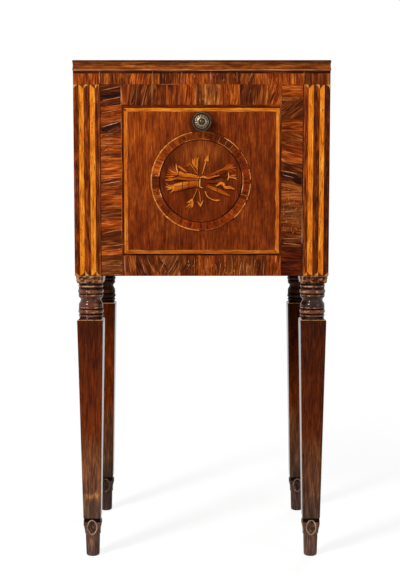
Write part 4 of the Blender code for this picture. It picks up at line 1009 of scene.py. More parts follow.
trophyFans = (  # feathers, flames and tassels: root, tips, width, tone
    ((-36, 12), ((-57, 7.5), (-56, 11), (-54, 15), (-53, 19), (-50, 23), (-46, 27), (-41, 28)), 2.6, amber),
    ((-37, 12), ((-58, 7), (-52, 20), (-39, 28)), 1.2, tan),
    ((-40, 5), ((-58, 2), (-54, 5)), 2.2, gold),
    ((-43, -8), ((-57, -3), (-54, -7), (-58, -8.5), (-55, -13), (-49, -18)), 2.8, gold),
    ((-44, -9), ((-56, -8), (-50, -19)), 1.0, tan),
    ((36, 18), ((47, 28), (52, 26), (55, 21), (56, 15), (50, 12), (42, 25)), 3.6, rust),
    ((37, 18), ((47, 27), (54, 18), (51, 24)), 1.1, amber),
    ((43, 6), ((55, 9), (56, 5.5), (56, 2)), 2.2, gold),
    ((-15, -28), ((-26, -42), (-21, -43), (-16, -43), (-25, -34)), 2.6, gold),
    ((-14, -28), ((-18, -43), (-22, -33)), 1.0, tan),
    ((-8, 21), ((-14.5, 35), (-11, 36), (-8.5, 39), (-5, 37)), 4.0, gold),
    ((-19, 25), ((-27, 24), (-26, 29), (-25, 34)), 1.6, amber),
)
trophyLifts = {"first": 0.00070, "shade": 0.0002, "step": 0.000004, "hollow": 0.000485,
               "hollowStep": 0.000003}
trophyShade = {"stroke": (0.5, -1.0), "strokeWider": 1.3, "fan": (0.4, -0.9), "fanBend": 0.10}  # in mm


def shifted(points, offset):
    return [(u + offset[0], v + offset[1]) for u, v in points]


lift = trophyLifts["first"]
bm, shading = newMesh(), newMesh()
for points, widths, tone in trophyStrokes:
    layStroke(bm, points, widths, tone, lift)
    layStroke(shading, shifted(points, trophyShade["stroke"]),  # a dark edge below each piece: painted shadow
              [width + trophyShade["strokeWider"] for width in widths], cutAndShadowTone,
              lift - trophyLifts["shade"])
    lift += trophyLifts["step"]
for root, tips, width, tone in trophyFans:
    for tip in tips:
        root, tip = Vector(root), Vector(tip)
        bend = Vector((root.y - tip.y, tip.x - root.x)) * trophyShade["fanBend"]
        points = [root, root.lerp(tip, 0.55) + bend, tip]
        layStroke(bm, points, (width * 0.7, width, 0.4), tone, lift)
        # and a painted shadow below and right of each feather
        layStroke(shading, shifted(points, trophyShade["fan"]), (width * 0.7, width + 1.0, 1.2), cutAndShadowTone,
                  lift - trophyLifts["shade"])
        lift += trophyLifts["step"]
finishPiece("trophyInlay", bm, goldInlay, "flap")

engraved = (  # dark cuts and shadows between the pieces
    ((-6, 5), (-22, 5.5), (-36, 8)), ((-6, 1), (-24, 0), (-44, 0)), ((-7, -8.5), (-24, -12), (-44, -17.5)),
    ((-10, 10.5), (-22, 13.5), (-28, 15)), ((-40, 9), (-54, 9)), ((-44, -5), (-54, -5)),
    ((-46, -12), (-53, -15)), ((12, 6.6), (24, 11), (38, 17)), ((14, 5), (28, 7.5), (40, 13)),
    ((38, 17), (50, 19)), ((46, 7), (55, 7)), ((12, -6), (24, -9.5), (36, -14)),
    ((30, -7), (37, -12.5), (48, -12)), ((-4.8, 4), (-5.2, -8)), ((-9, 25), (-9.5, 36)),
    ((-17, -32), (-20, -41)), ((-30, -2), (-31, -14)), ((-38, 8), (-36, 17)), ((-20, -1), (-20.5, -10)),
    ((24, 9), (22, 14)), ((26, -10), (24, -16)))
gapShades = (((10, 2), (24, 4), (36, 8)), ((8, -3), (20, -4), (32, 0)), ((30, 6), (38, 5), (41, 9)))
for points in engraved:
    layStroke(shading, points, (0.8, 1.4, 0.7) if len(points) == 3 else (1.2, 0.7), cutAndShadowTone, lift)
    lift += trophyLifts["step"]
# Dark patches between the pieces: painted shade
for index, points in enumerate(gapShades):
    layStroke(shading, points, (1.0, 2.6, 0.8), gapShadeTone,
              trophyLifts["hollow"] + trophyLifts["hollowStep"] * index)
finishPiece("trophyShading", shading, shadeVeneer, "flap")
print("trophy laid:", len(trophyStrokes), "pieces")


# Legs: round toe, square block with an oval, tapered shaft, turned neck, carved block
legSizes = {
    "toeRadius": 0.0108, "toeTop": 0.0118, "toeHeight": 0.034, "toeEdge": 0.0026, "blockLow": 0.053,
    "blockHalf": 0.0139, "neckHalf": 0.0130, "neckLow": 0.0580, "shaftLow": 0.0645,
    "shaftLowHalf": 0.0143, "shaftHigh": 0.392, "shaftHighHalf": 0.0208, "chamfer": 0.0026,
    "topLow": 0.4498, "topHigh": 0.4617, "topHalf": 0.0221, "arris": 0.0012, "topArris": 0.0035,
    "ovalWidth": 0.0077, "ovalHigh": 0.0612, "ovalLow": 0.0368, "ovalRim": 0.0010,
    "coveLow": 0.019, "coveHigh": 0.036, "smooth": 38,
}
ovalLook = {"tone": (4.6, 17.5, 66.0), "steps": 40, "around": 6, "narrowing": 0.30, "out": 0.0002,
            "flatness": 0.6, "wear": 0.10, "hollow": 0.5}
scuffLine = {"level": 0.0985, "slope": 0.00006, "waver": 0.0022, "reach": 0.0036, "reachMore": 0.0040,
             "edgeAngle": 225, "edgeReach": 6, "edgeLow": 0.070, "gain": (2.3, 2.5, 0.8)}
toePatch = {"angle": 261, "wide": 23, "level": 0.0240, "tall": 0.0056, "gain": (0.8, 0.6, 0.4)}
# the turning's grey tone: greyed wood, and partly a painted sheen
turningGreyAndSheen = (1.7, 2.4, 4.0)
turnedMembers = (  # from the shaft up: kind, height, radius
    ("groove", 0.0036, 0.0182), ("bead", 0.0029, 0.0200), ("groove", 0.0018, 0.0184),
    ("bead", 0.0068, 0.0204), ("groove", 0.0016, 0.0190), ("bead", 0.0029, 0.0198),
    ("cove", 0.0160, 0.0163), ("bead", 0.0040, 0.0199), ("groove", 0.0008, 0.0188),
    ("bead", 0.0072, 0.0206), ("groove", 0.0029, 0.0188), ("bead", 0.0040, 0.0199),
    ("groove", 0.0033, 0.0190))
legDegrees = (0, 6, 12, 18, 24, 30, 35, 39, 42, 44, 45, 46, 48, 51, 55, 60, 66, 72, 78, 84)
legAngles = [quarter * 90 + degree for quarter in range(4) for degree in legDegrees]
legShades = (  # height and tone: dark and rich above, dusty near the floor
    (0.0, (1.42, 4.8, 22.0)), (0.05, (1.4, 3.9, 14.5)), (0.08, (1.35, 3.9, 14.5)),
    (0.115, (2.0, 4.3, 12.4)), (0.17, (2.2, 4.1, 8.2)), (0.21, (1.95, 1.9, 1.6)),
    (0.30, (1.45, 1.35, 1.2)), (0.38, (0.80, 0.80, 0.9)), (0.47, (0.85, 0.9, 1.0)))
# The back legs' turnings, the coves and the right front shaft are set darker, partly as painted shade
legMarksAndShade = {  # lightness of the foot, the low and high shaft, the turning and its cove, partly painted shade, then marks of use
    "leg_front_left": {"foot": 1.0, "low": 1.0, "high": 1.0, "turning": 1.35, "cove": 0.60,
                       "scuff": 0.95, "carving": 0.37, "patch": 1.0},
    "leg_front_right": {"foot": 1.18, "low": 0.72, "high": 0.74, "turning": 1.08, "cove": 0.28,
                        "scuff": 0.12, "carving": 0.33, "patch": 0.3},
    "leg_back_left": {"foot": 0.58, "low": 0.52, "high": 1.12, "turning": 0.32, "cove": 1.0,
                      "scuff": 0.15, "carving": 0.0, "patch": 0.0},
    "leg_back_right": {"foot": 0.80, "low": 0.72, "high": 0.54, "turning": 0.30, "cove": 1.0,
                       "scuff": 0.08, "carving": 0.0, "patch": 0.0}}


def squareRadius(half, arris, degrees):
    c, s = abs(math.cos(math.radians(degrees))), abs(math.sin(math.radians(degrees)))
    return min(half / max(c, s), (2 * half - arris) / (c + s))


def acrossFace(angle):  # from -1 to 1 over each of the four sides
    return math.tan(math.radians((angle + 45) % 90 - 45))


# Sections of a leg: height, half size, squareness, arris, wear of the corners, hollow

def footSections():
    sizes = legSizes
    edge, arris = sizes["toeEdge"], sizes["arris"]
    sections = []
    for step in range(6):
        angle = math.pi / 2 * step / 5
        sections.append((edge * (1 - math.cos(angle)), sizes["toeRadius"] - edge * (1 - math.sin(angle)),
                         0, 0, 0.12, 0))
    for step in range(2, 15):
        share = step / 14
        sections.append((sizes["toeHeight"] * share, between(sizes["toeRadius"], sizes["toeTop"], share),
                         0, 0, 0.05, 0.1))
    for share in (0.12, 0.24, 0.36, 0.48, 0.6, 0.72, 0.84, 1.0):  # round toe grows into the square block
        sections.append((between(sizes["toeHeight"], sizes["blockLow"], share),
                         between(sizes["toeTop"], sizes["blockHalf"], share), share ** 0.8,
                         0.004 * (1 - share) + arris, 0.4 * share, 0.1))
    for step in range(4):
        z = sizes["blockLow"] + 0.0008 + (sizes["neckLow"] - 0.0014 - sizes["blockLow"]) * step / 3
        sections.append((z, sizes["blockHalf"], 1, arris, 0.45, 0))
    return sections + [(sizes["neckLow"], sizes["neckHalf"], 1, arris, 0, 0.9),
                       (sizes["shaftLow"] - 0.0005, sizes["neckHalf"], 1, arris, 0, 1.0),
                       (sizes["shaftLow"], sizes["shaftLowHalf"] - 0.0006, 1, arris, 0.5, 0.2)]


def shaftSections(chance):
    sizes = legSizes
    sections = []
    rise = sizes["shaftHigh"] - sizes["chamfer"] - sizes["shaftLow"] - 0.001
    shares = [step / 48 for step in range(49) if not 2.7 < step < 8.8]
    shares += [0.0585 + 0.0045 * step for step in range(28)]  # finer round the scuffed line
    for share in sorted(shares):
        half = between(sizes["shaftLowHalf"], sizes["shaftHighHalf"], share)
        wear = 0.42 + 0.25 * max(0, 0.3 - share) + chance.uniform(-0.08, 0.1)
        sections.append((sizes["shaftLow"] + 0.001 + rise * share, half, 1, sizes["arris"], wear, 0))
    for drop, inset, wear, hollow in ((sizes["chamfer"] * 0.5, 0.0009, 0.80, 0), (0, 0.0024, 0.5, 0.1)):
        sections.append((sizes["shaftHigh"] - drop, sizes["shaftHighHalf"] - inset, 1, sizes["arris"],
                         wear, hollow))
    return sections


def neckSections():  # its ends are let into the shaft and the block
    level = legSizes["shaftHigh"]
    points = [(level - 0.0003, 0.0182, 0, 0)]
    for kind, height, radius in turnedMembers:
        if kind == "groove":
            points += [(level + height * share, radius + open, 0, hollow)
                       for share, open, hollow in ((0.15, 0.0006, 0.5), (0.5, 0, 0.75), (0.85, 0.0006, 0.5))]
        elif kind == "bead":
            deep = min(height / 2, 0.0022)
            worn = 0.60 if height < 0.0042 else 0.48  # thin fillets lose their polish first
            for step in range(9):
                angle = math.pi * step / 8
                points.append((level + height / 2 - math.cos(angle) * height / 2 * 0.98,
                               radius - deep * (1 - math.sin(angle)), worn * math.sin(angle),
                               0.35 * (1 - math.sin(angle))))
        else:
            for step in range(15):
                share = step / 14
                swell = math.cos(math.pi * share ** 1.7) ** 2  # narrowest above the middle
                points.append((level + height * share, radius + 0.0032 * swell ** 1.3, 0.0, 0.1))
        level += height
    points.append((legSizes["topLow"] + 0.0003, 0.0190, 0, 0))
    return [(z, radius, 0, 0, wear, hollow) for z, radius, wear, hollow in points]


def blockSections():
    sections = []
    for step in range(15):
        share = step / 14
        inset = 0.0014 * (1 - share) ** 1.5 + 0.0010 * (share < 0.05)
        sections.append((between(legSizes["topLow"], legSizes["topHigh"], share), legSizes["topHalf"] - inset,
                         1, legSizes["topArris"], 0.3, 0.1))
    return sections


def legTone(marks, z, angle, seed, scuff):
    shaftHigh = legSizes["shaftHigh"]
    drift = between(marks["low"], marks["high"], min(1.0, z / 0.30) ** 4)
    # the lightness of the turning and of its cove is partly painted shade
    if z > shaftHigh:
        drift = marks["turning"]
        if legSizes["coveLow"] < z - shaftHigh < legSizes["coveHigh"]:
            drift *= marks["cove"]
    elif z < legSizes["shaftLow"]:
        drift = marks["foot"]
    drift *= 1 + 0.30 * noise.noise((seed * 3.7, z * 12, angle / 60))
    for (low, lowTone), (high, highTone) in zip(legShades, legShades[1:]):
        if z <= high:
            break
    share = min(1.0, max(0.0, (z - low) / (high - low)))
    tone = [between(a, b, share) * drift for a, b in zip(lowTone, highTone)]
    if shaftHigh < z < legSizes["topLow"]:  # the turning has greyed, and is greyer and lighter partly as painted sheen
        blotch = 1 + 0.8 * noise.noise((seed * 2.3, z * 170, angle / 20))
        tone = [part * gain * blotch for part, gain in zip(tone, turningGreyAndSheen)]
    flaked = (toePatch["angle"], toePatch["level"], toePatch["wide"], toePatch["tall"])
    patch = marks["patch"] * patchAt(angle, z, flaked)
    gains = zip(tone, scuffLine["gain"], toePatch["gain"])
    return [part * (1 + scuff * scuffGain + patch * patchGain) for part, scuffGain, patchGain in gains]


def scuffAt(z, angle, seed):  # a scuffed line above the foot, rising to the right
    fromEdge = angle - scuffLine["edgeAngle"]
    wider = max(0.0, noise.noise((angle / 26, seed, 7.5)) + (angle > 280) * 0.5)
    reach = scuffLine["reach"] + scuffLine["reachMore"] * wider
    line = (scuffLine["level"] + scuffLine["slope"] * fromEdge
            + scuffLine["waver"] * noise.noise((angle / 12, seed, 1.5)))
    scuff = math.exp(-((z - line) / reach) ** 2) * (0.8 + 0.6 * noise.noise((angle / 8, z * 300, 2.5)))
    if scuffLine["edgeLow"] < z < line:  # and down the left edge
        scuff = max(scuff, 0.8 * math.exp(-(fromEdge / scuffLine["edgeReach"]) ** 2))
    return scuff


def addLegVert(bm, kind, section, angle, middle, marks, seed):
    z, half, square, arris, wear, hollow = section
    sizes = legSizes
    flat = squareRadius(half, arris, angle) if square else half
    radius = between(half, flat, square)
    corner = max(0.0, 1 - abs(angle % 90 - 45) / 3.5) if square else 1.0
    if sizes["shaftHigh"] - sizes["chamfer"] < z < sizes["shaftHigh"]:
        corner = 1.0  # the chamfer at the head of the shaft is rubbed all along
    rub, dirt, scuff, gloss = wear * corner, hollow, 0.0, 1.0
    if kind == "block":  # worn acanthus: small lobes that lean outwards, four to a face
        share = (z - sizes["topLow"]) / (sizes["topHigh"] - sizes["topLow"])
        across = acrossFace(angle)
        lobe = abs(math.sin(math.pi * 2 * (across + 1) + 0.5 * math.sin(4 * share + seed)))
        frill = noise.noise((angle / 8, share * 4, seed + 4))
        radius -= (1 - lobe) * 0.0006 + 0.0005 * max(0, frill)
        rub = (marks["carving"] + 0.08 * lobe + 0.24 * frill + 0.20 * (share > 0.86)
               + 0.16 * (abs(across) > 0.72))
        dirt = 0.22 + 0.15 * (1 - lobe) - 0.2 * frill
    if square and z < sizes["shaftHigh"]:
        scuff = scuffAt(z, angle, seed) * marks["scuff"]
        rub = max(rub, 0.50 * scuff)
    if not square or kind == "block":  # dull but for the sides that face each other
        facing = math.cos(math.radians(angle - (180 if middle.x > 0 else 0)))
        gloss = 0.10 + 0.9 * min(1.0, max(0.0, (facing - 0.2) / 0.6))
        rub *= min(1.0, marks["turning"] + 0.05) if z > sizes["shaftHigh"] else 1.0
    if kind == "neck":  # shellac over fillets that are rubbed in places
        gloss = 0.85 * min(1.0, marks["turning"]) * (1 - hollow)
        rub *= 0.72 + 1.1 * noise.noise((angle / 24, z * 210, seed + 2.0))
    if sizes["ovalLow"] < z < sizes["ovalHigh"]:  # sunk middle of the oval
        wide = half * acrossFace(angle) / sizes["ovalWidth"]
        tall = (2 * z - sizes["ovalHigh"] - sizes["ovalLow"]) / (sizes["ovalHigh"] - sizes["ovalLow"])
        if wide ** 2 + tall ** 2 < 0.72:
            rub, dirt = 0.0, 0.42
    turn = math.radians(angle)
    spot = Vector((middle.x + radius * math.cos(turn), middle.y + radius * math.sin(turn), z))
    return addVert(bm, spot, spot, legTone(marks, z, angle, seed, scuff), rub, dirt, gloss)


def addOval(bm, middle, facing, depth):
    # Raised almond rim on a face of the foot
    sizes = legSizes
    turn = math.radians(facing)
    out = Vector((math.cos(turn), math.sin(turn), 0))
    side = Vector((-out.y, out.x, 0))
    tall = (sizes["ovalHigh"] - sizes["ovalLow"]) / 2
    # the rim follows the foot's lightness, which is partly painted shade
    tone = [part * depth ** 2 for part in ovalLook["tone"]]
    steps, around = ovalLook["steps"], ovalLook["around"]
    rings = []
    for step in range(steps):
        angle = 2 * math.pi * step / steps
        narrowing = 1 - ovalLook["narrowing"] * max(0, -math.sin(angle)) ** 2
        u = sizes["ovalWidth"] * math.cos(angle) * narrowing
        z = sizes["ovalLow"] + tall + tall * math.sin(angle)
        share = min(1.0, max(0.0, (z - sizes["toeHeight"]) / (sizes["blockLow"] - sizes["toeHeight"])))
        base = between(sizes["toeTop"], sizes["blockHalf"], share)
        roundDrop = (base - math.sqrt(max(1e-9, base ** 2 - u ** 2))) * (1 - share)
        rings.append([])
        for turnStep in range(around):
            bend = 2 * math.pi * turnStep / around
            offset = sizes["ovalRim"] * math.cos(bend)
            lift = sizes["ovalRim"] * ovalLook["flatness"] * math.sin(bend)
            spot = (Vector((middle.x, middle.y, 0)) + out * (base - roundDrop + ovalLook["out"] + lift)
                    + side * (u + offset * math.cos(angle)) + Vector((0, 0, z + offset * math.sin(angle))))
            rings[-1].append(addVert(bm, spot, spot, tone, ovalLook["wear"],
                                     ovalLook["hollow"] if lift < 0 else 0))
    joinRings(bm, rings + [rings[0]], capStart=False, capEnd=False)


def addLeg(name, seed):
    low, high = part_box(name)
    middle = (low + high) / 2
    marks = legMarksAndShade[name]
    bm, neckMesh = newMesh(), newMesh()
    for kind, mesh, sections in (("shaft", bm, footSections() + shaftSections(random.Random(seed))),
                                 ("neck", neckMesh, neckSections()), ("block", bm, blockSections())):
        joinRings(mesh, [[addLegVert(mesh, kind, section, angle, middle, marks, seed) for angle in legAngles]
                         for section in sections])
    for quarter in range(4):
        addOval(bm, middle, quarter * 90, min(1.0, marks["foot"]))
    place = name[4:].replace("_", ".")
    finishPiece("leg." + place, bm, legPolish, "case", (name,), smooth=legSizes["smooth"])
    finishPiece("legTurning." + place, neckMesh, turningPolish, "case", smooth=legSizes["smooth"])


for index, legName in enumerate(legMarksAndShade):
    addLeg(legName, index + 3)
print("legs turned")


# Moulded edge of the top: fillet, hollow and bead carried round three sides
mouldingSizes = {"fillet": 0.0022, "hollowDepth": 0.0006, "bead": 0.0027, "inside": 0.0115, "sideSteps": 24,
                 "frontSteps": 32, "sideRun": 0.31, "frontRun": 0.405, "smooth": 40}


def mouldingProfile():
    # (distance in from the outer face, height, tone, wear, hollow) from the top down
    low, high = lipFrontLow.z, lipFrontHigh.z
    fillet, deep, bead = mouldingSizes["fillet"], mouldingSizes["hollowDepth"], mouldingSizes["bead"]
    dark, mid, pale = (0.40, 0.38, 0.38), (1.05, 1.0, 0.95), (2.3, 3.4, 7.5)
    upper, lower = (0.82, 0.86, 0.80), (1.30, 1.14, 0.95)
    points = [(mouldingSizes["inside"], high, mid, 0, 0), (0.0010, high, mid, 0.2, 0),
              (0.0003, high - 0.0004, dark, 0.35, 0), (0.0, high - 0.0012, dark, 0.1, 0),
              (0.0, high - fillet + 0.0004, dark, 0.1, 0), (0.0004, high - fillet, dark, 0, 0.4)]
    hollowTop, hollowLow = high - fillet - 0.0002, low + bead + 0.0002
    for step in range(9):
        share = step / 8
        points.append((0.0004 + deep * math.sin(math.pi * share), between(hollowTop, hollowLow, share),
                       upper if share < 0.5 else lower, 0.0, 0.25 * (1 - math.sin(math.pi * share))))
    for step in range(9):
        angle = math.pi * step / 8
        points.append((bead / 2 * (1 - math.sin(angle)) * 0.9, low + bead / 2 + bead / 2 * math.cos(angle),
                       pale, 0.40 * math.sin(angle), 0.2 * (1 - math.sin(angle))))
    return points + [(inset, low + 0.0001, dark, 0, 0.3) for inset in (0.004, mouldingSizes["inside"])]


outerX, outerFront, outerBack = lipLeftLow.x, lipFrontLow.y, lipLeftHigh.y
sideSteps, frontSteps = mouldingSizes["sideSteps"], mouldingSizes["frontSteps"]
sideRun, frontRun = mouldingSizes["sideRun"], mouldingSizes["frontRun"]
path = [(outerX, between(outerBack, outerFront, step / sideSteps), (1, 0), step / sideSteps * sideRun)
        for step in range(sideSteps)]
path.append((outerX, outerFront, (1, 1), sideRun))
path += [(between(outerX, -outerX, step / frontSteps), outerFront, (0, 1),
          sideRun + step / frontSteps * frontRun) for step in range(1, frontSteps)]
path.append((-outerX, outerFront, (-1, 1), sideRun + frontRun))
path += [(-outerX, between(outerFront, outerBack, step / sideSteps), (-1, 0),
          sideRun + frontRun + step / sideSteps * sideRun) for step in range(1, sideSteps + 1)]
bm = newMesh()
rings = []
for x, y, inward, run in path:
    rings.append([])
    for index, (inset, z, tone, wear, hollow) in enumerate(mouldingProfile()):
        drift = 1 + 0.30 * noise.noise((run * 16, z * 40, 5.0))
        rings[-1].append(addVert(bm, (x + inward[0] * inset, y + inward[1] * inset, z),
                                 (run, index * 0.0009, 0.2), [part * drift for part in tone], wear, hollow))
joinRings(bm, rings)
finishPiece("topMoulding", bm, topMouldingWood, "case",
            ("top_lip_front", "top_lip_left", "top_lip_right"), smooth=mouldingSizes["smooth"])
print("moulding run")


# Top and sides: a field of four matched leaves, a light line and a crossbanded border
borderTones = ("mid", "red", "brown", "orange", "mid", "grey", "dark")
panelLineTone = (0.92, 0.88, 0.84)


def layFramed(face, bounds, look, names):
    left, low, right, high = bounds
    border, line, count = look["border"], look["line"], look["leaves"]
    chance = random.Random(len(names[0]))
    bandMesh, lineMesh, fieldMesh = newMesh(), newMesh(), newMesh()
    a, b = border + jointGap, border + line - jointGap
    for start, end, inward in (((left, low), (right, low), (0, 1)), ((right, low), (right, high), (-1, 0)),
                               ((right, high), (left, high), (0, -1)), ((left, high), (left, low), (1, 0))):
        start, end, inward = Vector(start), Vector(end), Vector(inward)
        along = (end - start).normalized()
        length = (end - start).length
        for index in range(count):
            near, far = length * index / count, length * (index + 1) / count
            innerNear, innerFar = max(border, near), min(length - border, far)
            outline = [start + along * (near + jointGap), start + along * (far - jointGap),
                       start + along * (innerFar - jointGap) + inward * border,
                       start + along * (innerNear + jointGap) + inward * border]
            addLeaf(bandMesh, face, [tuple(p) for p in outline], heading(inward),
                    borderTones[chance.randrange(7)])
        outline = [start + along * a + inward * a, end - along * a + inward * a,
                   end - along * b + inward * b, start + along * b + inward * b]
        addLeaf(lineMesh, face, [tuple(p) for p in outline], heading(along), panelLineTone)
    inner = border + line + jointGap
    midU, midV = (left + right) / 2, (low + high) / 2
    quarters = ((left + inner, low + inner, midU - jointGap, midV - jointGap),
                (midU + jointGap, low + inner, right - inner, midV - jointGap),
                (midU + jointGap, midV + jointGap, right - inner, high - inner),
                (left + inner, midV + jointGap, midU - jointGap, high - inner))
    for quarter, grain, tone in zip(quarters, look["grains"], look["fieldTones"]):
        addLeaf(fieldMesh, face, rectangle(*quarter), grain, tone)
    finishPiece(names[0], bandMesh, crossVeneer, "case")
    finishPiece(names[1], lineMesh, goldInlay, "case")
    finishPiece(names[2], fieldMesh, redVeneer, "case")


topLook = {"border": 0.042, "line": 0.004, "edge": 0.0012, "backEdge": 0.0006, "leaves": 7,
           "grains": (62, 118, 62, 118),
           "fieldTones": ((1.0, 0.95, 0.9), (0.92, 0.86, 0.86), (1.05, 1.0, 0.94), (0.95, 0.9, 0.9))}
edge = topLook["edge"]
layFramed(topFace, (outerX + edge, outerFront + edge, -outerX - edge, outerBack - topLook["backEdge"]),
          topLook, ("topBorder", "topStringing", "topField"))

# Sides in the manner of the front: frieze, pilasters on the posts, a banded panel between
sideLook = {"border": 0.030, "line": 0.005, "leaves": 6, "grains": (90, 90, 90, 90),
            "fieldTones": ((1.0, 0.95, 0.9), (0.94, 0.88, 0.88), (1.05, 1.0, 0.94), (0.97, 0.9, 0.9)),
            "frieze": ((0.13, "red"), (0.32, "brown"), (0.5, "mid"), (0.69, "red"), (0.87, "mid"),
                       (1.0, "red"))}  # share of the depth where each leaf ends, tone
for sideName, face, inward in (("left", leftFace, -1), ("right", rightFace, 1)):
    nearEdge, farEdge = inward * frontY, inward * backY
    darkMesh, lightMesh = newMesh(), newMesh()
    layPilaster(face, nearEdge, inward, darkMesh, lightMesh)
    layPilaster(face, farEdge, -inward, darkMesh, lightMesh)
    finishPiece("sidePilasterShade." + sideName, darkMesh, shadeVeneer, "case")
    finishPiece("sidePilasterLight." + sideName, lightMesh, goldInlay, "case")
    left, right = sorted((nearEdge + inward * postDepth, farEdge - inward * postDepth))
    layFramed(face, (left, caseBottom, right, friezeLow), sideLook,
              [part + "." + sideName for part in ("sideBorder", "sideStringing", "sideField")])
    bm = newMesh()
    left, right = sorted((nearEdge, farEdge))
    addRow(bm, face, (friezeLow, caseTop), (left, right),
           [(between(left, right, share) * 1000, tone, 90, 0) for share, tone in sideLook["frieze"]], False)
    finishPiece("sideFrieze." + sideName, bm, crossVeneer, "case")
print("top and sides laid")


# Knob: a cast rosette on a neck, with its backplate
knobSizes = {"radius": 0.0149, "spokes": 15, "boss": 0.0050, "shoulder": 0.0078, "petalEnd": 0.0113,
             "rim": 0.0126, "steps": 120, "smooth": 30}
roseSizes = {"steps": 64, "scallops": 16, "scallopDepth": 0.03, "scallopFrom": 0.0095, "smooth": 35}
faceY = knobLow.y + 0.0020  # the level of the rim, behind the boss


def knobHeight(radius, angle):
    # (height above the rim level, wear, hollow) of the cast face, in metres
    sizes = knobSizes
    if radius < sizes["boss"]:  # button in the middle, dark at its foot
        share = radius / sizes["boss"]
        return 0.0019 - 0.0026 * share ** 3, 0.34 * (share < 0.62), 0.75 * (share > 0.72)
    petal = abs(math.cos(sizes["spokes"] / 2 * angle))
    if radius < sizes["shoulder"]:  # smooth collar, bright where it is rubbed
        share = (radius - sizes["boss"]) / (sizes["shoulder"] - sizes["boss"])
        return 0.0010 - 0.0012 * share + 0.0003 * math.sin(math.pi * share), 0.56, 0.2
    if radius < sizes["petalEnd"]:  # petals that fall away to the groove
        share = (radius - sizes["shoulder"]) / (sizes["petalEnd"] - sizes["shoulder"])
        fall = -0.0002 - 0.0017 * share
        cut = (1 - petal ** 0.7) * math.sin(math.pi * min(1.0, share + 0.15))
        swell = 0.0003 * math.sin(math.pi * share)
        return fall + swell - 0.0009 * cut, 0.50 * (1 - cut), 0.15 + 0.5 * cut
    if radius < sizes["rim"]:
        return -0.0024, 0.0, 1.0
    share = (radius - sizes["rim"]) / (sizes["radius"] - sizes["rim"])
    return -0.0018 + 0.0016 * math.sin(math.pi * min(1.0, 0.1 + 0.8 * share)), 0.42, 0.30


def addCastRing(bm, steps, formAt):  # formAt gives the radius, y, wear and hollow at an angle
    ring = []
    for step in range(steps):
        angle = 2 * math.pi * step / steps
        radius, y, wear, hollow = formAt(angle)
        spot = Vector((radius * math.cos(angle), y, knobLevel + radius * math.sin(angle)))
        ring.append(addVert(bm, spot, spot, (1, 1, 1), wear, hollow))
    return ring


def castFace(radius):
    def formAt(angle):
        height, wear, hollow = knobHeight(radius, angle)
        return radius, faceY - height, wear, hollow
    return formAt


def castRose(radius, y, wear):
    def formAt(angle):
        wave = (radius > roseSizes["scallopFrom"]) * (0.5 + 0.5 * math.cos(roseSizes["scallops"] * angle))
        return radius * (1 - roseSizes["scallopDepth"] * wave), y, wear, 0.3
    return formAt


faceRadii = millimetres(
    0.4, 1.0, 1.6, 2.2, 2.8, 3.2, 3.5, 3.8, 4.2, 4.6, 4.95, 5.1, 5.5, 6.0, 6.5, 7.0, 7.5, 7.9, 8.3, 8.7, 9.1,
    9.5, 9.9, 10.3, 10.7, 11.0, 11.25, 11.4, 12.0, 12.5, 12.7, 13.1, 13.6, 14.1, 14.5, 14.9)
sideProfile = (  # radius, distance behind the rim level
    (0.0150, 0.0012), (0.0150, 0.0032), (0.0146, 0.0044), (0.0132, 0.0056), (0.0106, 0.0066),
    (0.0074, 0.0074), (0.0058, 0.0088), (0.0054, 0.0120), (0.0056, 0.0155), (0.0064, 0.0178),
    (0.0072, knobHigh.y - faceY))
bm = newMesh()
rings = [addCastRing(bm, knobSizes["steps"], castFace(radius)) for radius in faceRadii]
rings += [addCastRing(bm, knobSizes["steps"], lambda angle: (radius, faceY + back, 0.0, 0.4))
          for radius, back in sideProfile]
joinRings(bm, rings)
finishPiece("castKnob", bm, agedBronze, "latch", ("knob",), smooth=knobSizes["smooth"])

roseProfile = (  # radius, y, wear
    (0.0036, roseHigh.y, 0), (0.0100, roseHigh.y, 0), (0.0100, roseHigh.y - 0.0007, 0.3),
    (0.0094, roseHigh.y - 0.0010, 0.1), (0.0090, roseHigh.y - 0.0009, 0),
    (0.0084, roseHigh.y - 0.0014, 0.2), (0.0074, roseLow.y, 0.2), (0.0036, roseLow.y, 0))
bm = newMesh()
rings = [addCastRing(bm, roseSizes["steps"], castRose(*row)) for row in roseProfile]
joinRings(bm, rings + [rings[0]], capStart=False, capEnd=False)
finishPiece("knobBackplate", bm, agedBronze, "flap", ("knob_rose",), smooth=roseSizes["smooth"])
print("knob cast")


# Floor, light and camera
stageSizes = {"floor": 12.0, "floorShare": 0.29, "floorGlow": 0.80, "worldLight": 0.30,
              "paperNear": 0.35, "paperFar": 1.30}
pureWhite = (1, 1, 1, 1)


def seenRay(tree):  # 1 where the camera, a mirror or a clear piece looks, 0 for the light itself
    path = addNode(tree, "LightPath").outputs
    shown = sums(tree, "MAXIMUM", path["Is Glossy Ray"], path["Is Transmission Ray"])
    return sums(tree, "MAXIMUM", path["Is Camera Ray"], shown)


def mixShaders(tree, share, first, second):
    return addNode(tree, "MixShader", values={0: share, 1: first, 2: second}).outputs[0]


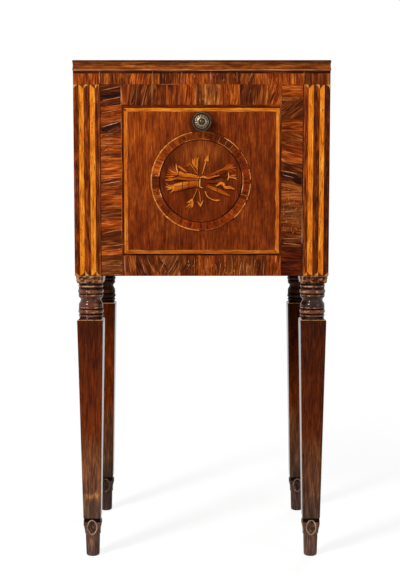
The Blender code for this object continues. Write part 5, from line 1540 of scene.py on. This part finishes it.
def makeFloorMaterial():
    # Near the object the floor takes its shadow, farther off it is as white as the backdrop
    material, tree, shader = startMaterial("paleFloor")
    feed(tree, shader, {"Base Color": (0.80, 0.80, 0.80, 1), "Roughness": 0.9, "Specular IOR Level": 0.0})
    paper = addNode(tree, "BsdfDiffuse", values={"Color": (*[stageSizes["floorShare"]] * 3, 1)})
    glow = addNode(tree, "Emission", values={"Color": pureWhite, "Strength": stageSizes["floorGlow"]})
    both = addNode(tree, "AddShader", values={0: paper.outputs[0], 1: glow.outputs[0]})
    distance = addNode(tree, "VectorMath", {"operation": "LENGTH"}, {0: objectPlace(tree)})
    away = spread(tree, distance.outputs["Value"], stageSizes["paperNear"], stageSizes["paperFar"])
    blank = addNode(tree, "Emission", values={"Color": pureWhite, "Strength": 1.0})
    shown = mixShaders(tree, away, both.outputs[0], blank.outputs[0])
    feed(tree, tree.nodes["Material Output"], {
        "Surface": mixShaders(tree, seenRay(tree), shader.outputs[0], shown)})
    return material


bm = bmesh.new()
half = stageSizes["floor"] / 2
bm.faces.new([bm.verts.new((x * half, y * half, 0)) for x, y in rectangle(-1, -1, 1, 1)])
floorMesh = bpy.data.meshes.new("studioFloor")
bm.to_mesh(floorMesh)
bm.free()
floorMesh.materials.append(makeFloorMaterial())
studioFloor = addObject("studioFloor", floorMesh)

world = bpy.data.worlds.new("studioWorld")
bpy.context.scene.world = world
world.use_nodes = True
tree = world.node_tree
ambient = tree.nodes["Background"]
feed(tree, ambient, {"Color": pureWhite, "Strength": stageSizes["worldLight"]})
backdrop = addNode(tree, "Background", values={"Color": pureWhite, "Strength": 1.0})
feed(tree, tree.nodes["World Output"], {
    "Surface": mixShaders(tree, seenRay(tree), ambient.outputs[0], backdrop.outputs[0])})

lamps = (  # name, place, size in metres, watts
    ("keyLamp", (-1.65, -1.95, 2.0), 0.65, 57), ("fillLamp", (2.0, -1.6, 1.2), 1.6, 9),
    ("backLamp", (0.9, 2.2, 1.9), 1.6, 20))
lampTarget = Vector((0, 0, 0.5))
for name, place, size, watts in lamps:
    lamp = bpy.data.lights.new(name, "AREA")
    lamp.shape = "DISK"
    lamp.size = size
    lamp.energy = watts
    lampObject = addObject(name, lamp)
    lampObject.location = place
    lampObject.rotation_euler = (lampTarget - Vector(place)).to_track_quat("-Z", "Y").to_euler()

cameraSizes = {"place": (-0.0027, -1.960, 0.606), "pitch": -5.36, "lens": 70.5, "sensor": 36.0}
camera = bpy.data.cameras.new("photoCamera")
camera.sensor_width = cameraSizes["sensor"]
camera.lens = cameraSizes["lens"]
cameraObject = addObject("photoCamera", camera)
cameraObject.location = cameraSizes["place"]
cameraObject.rotation_euler = (math.radians(90 + cameraSizes["pitch"]), 0, 0)
bpy.context.scene.camera = cameraObject
bpy.context.scene.view_settings.view_transform = "Standard"

print("scene done")
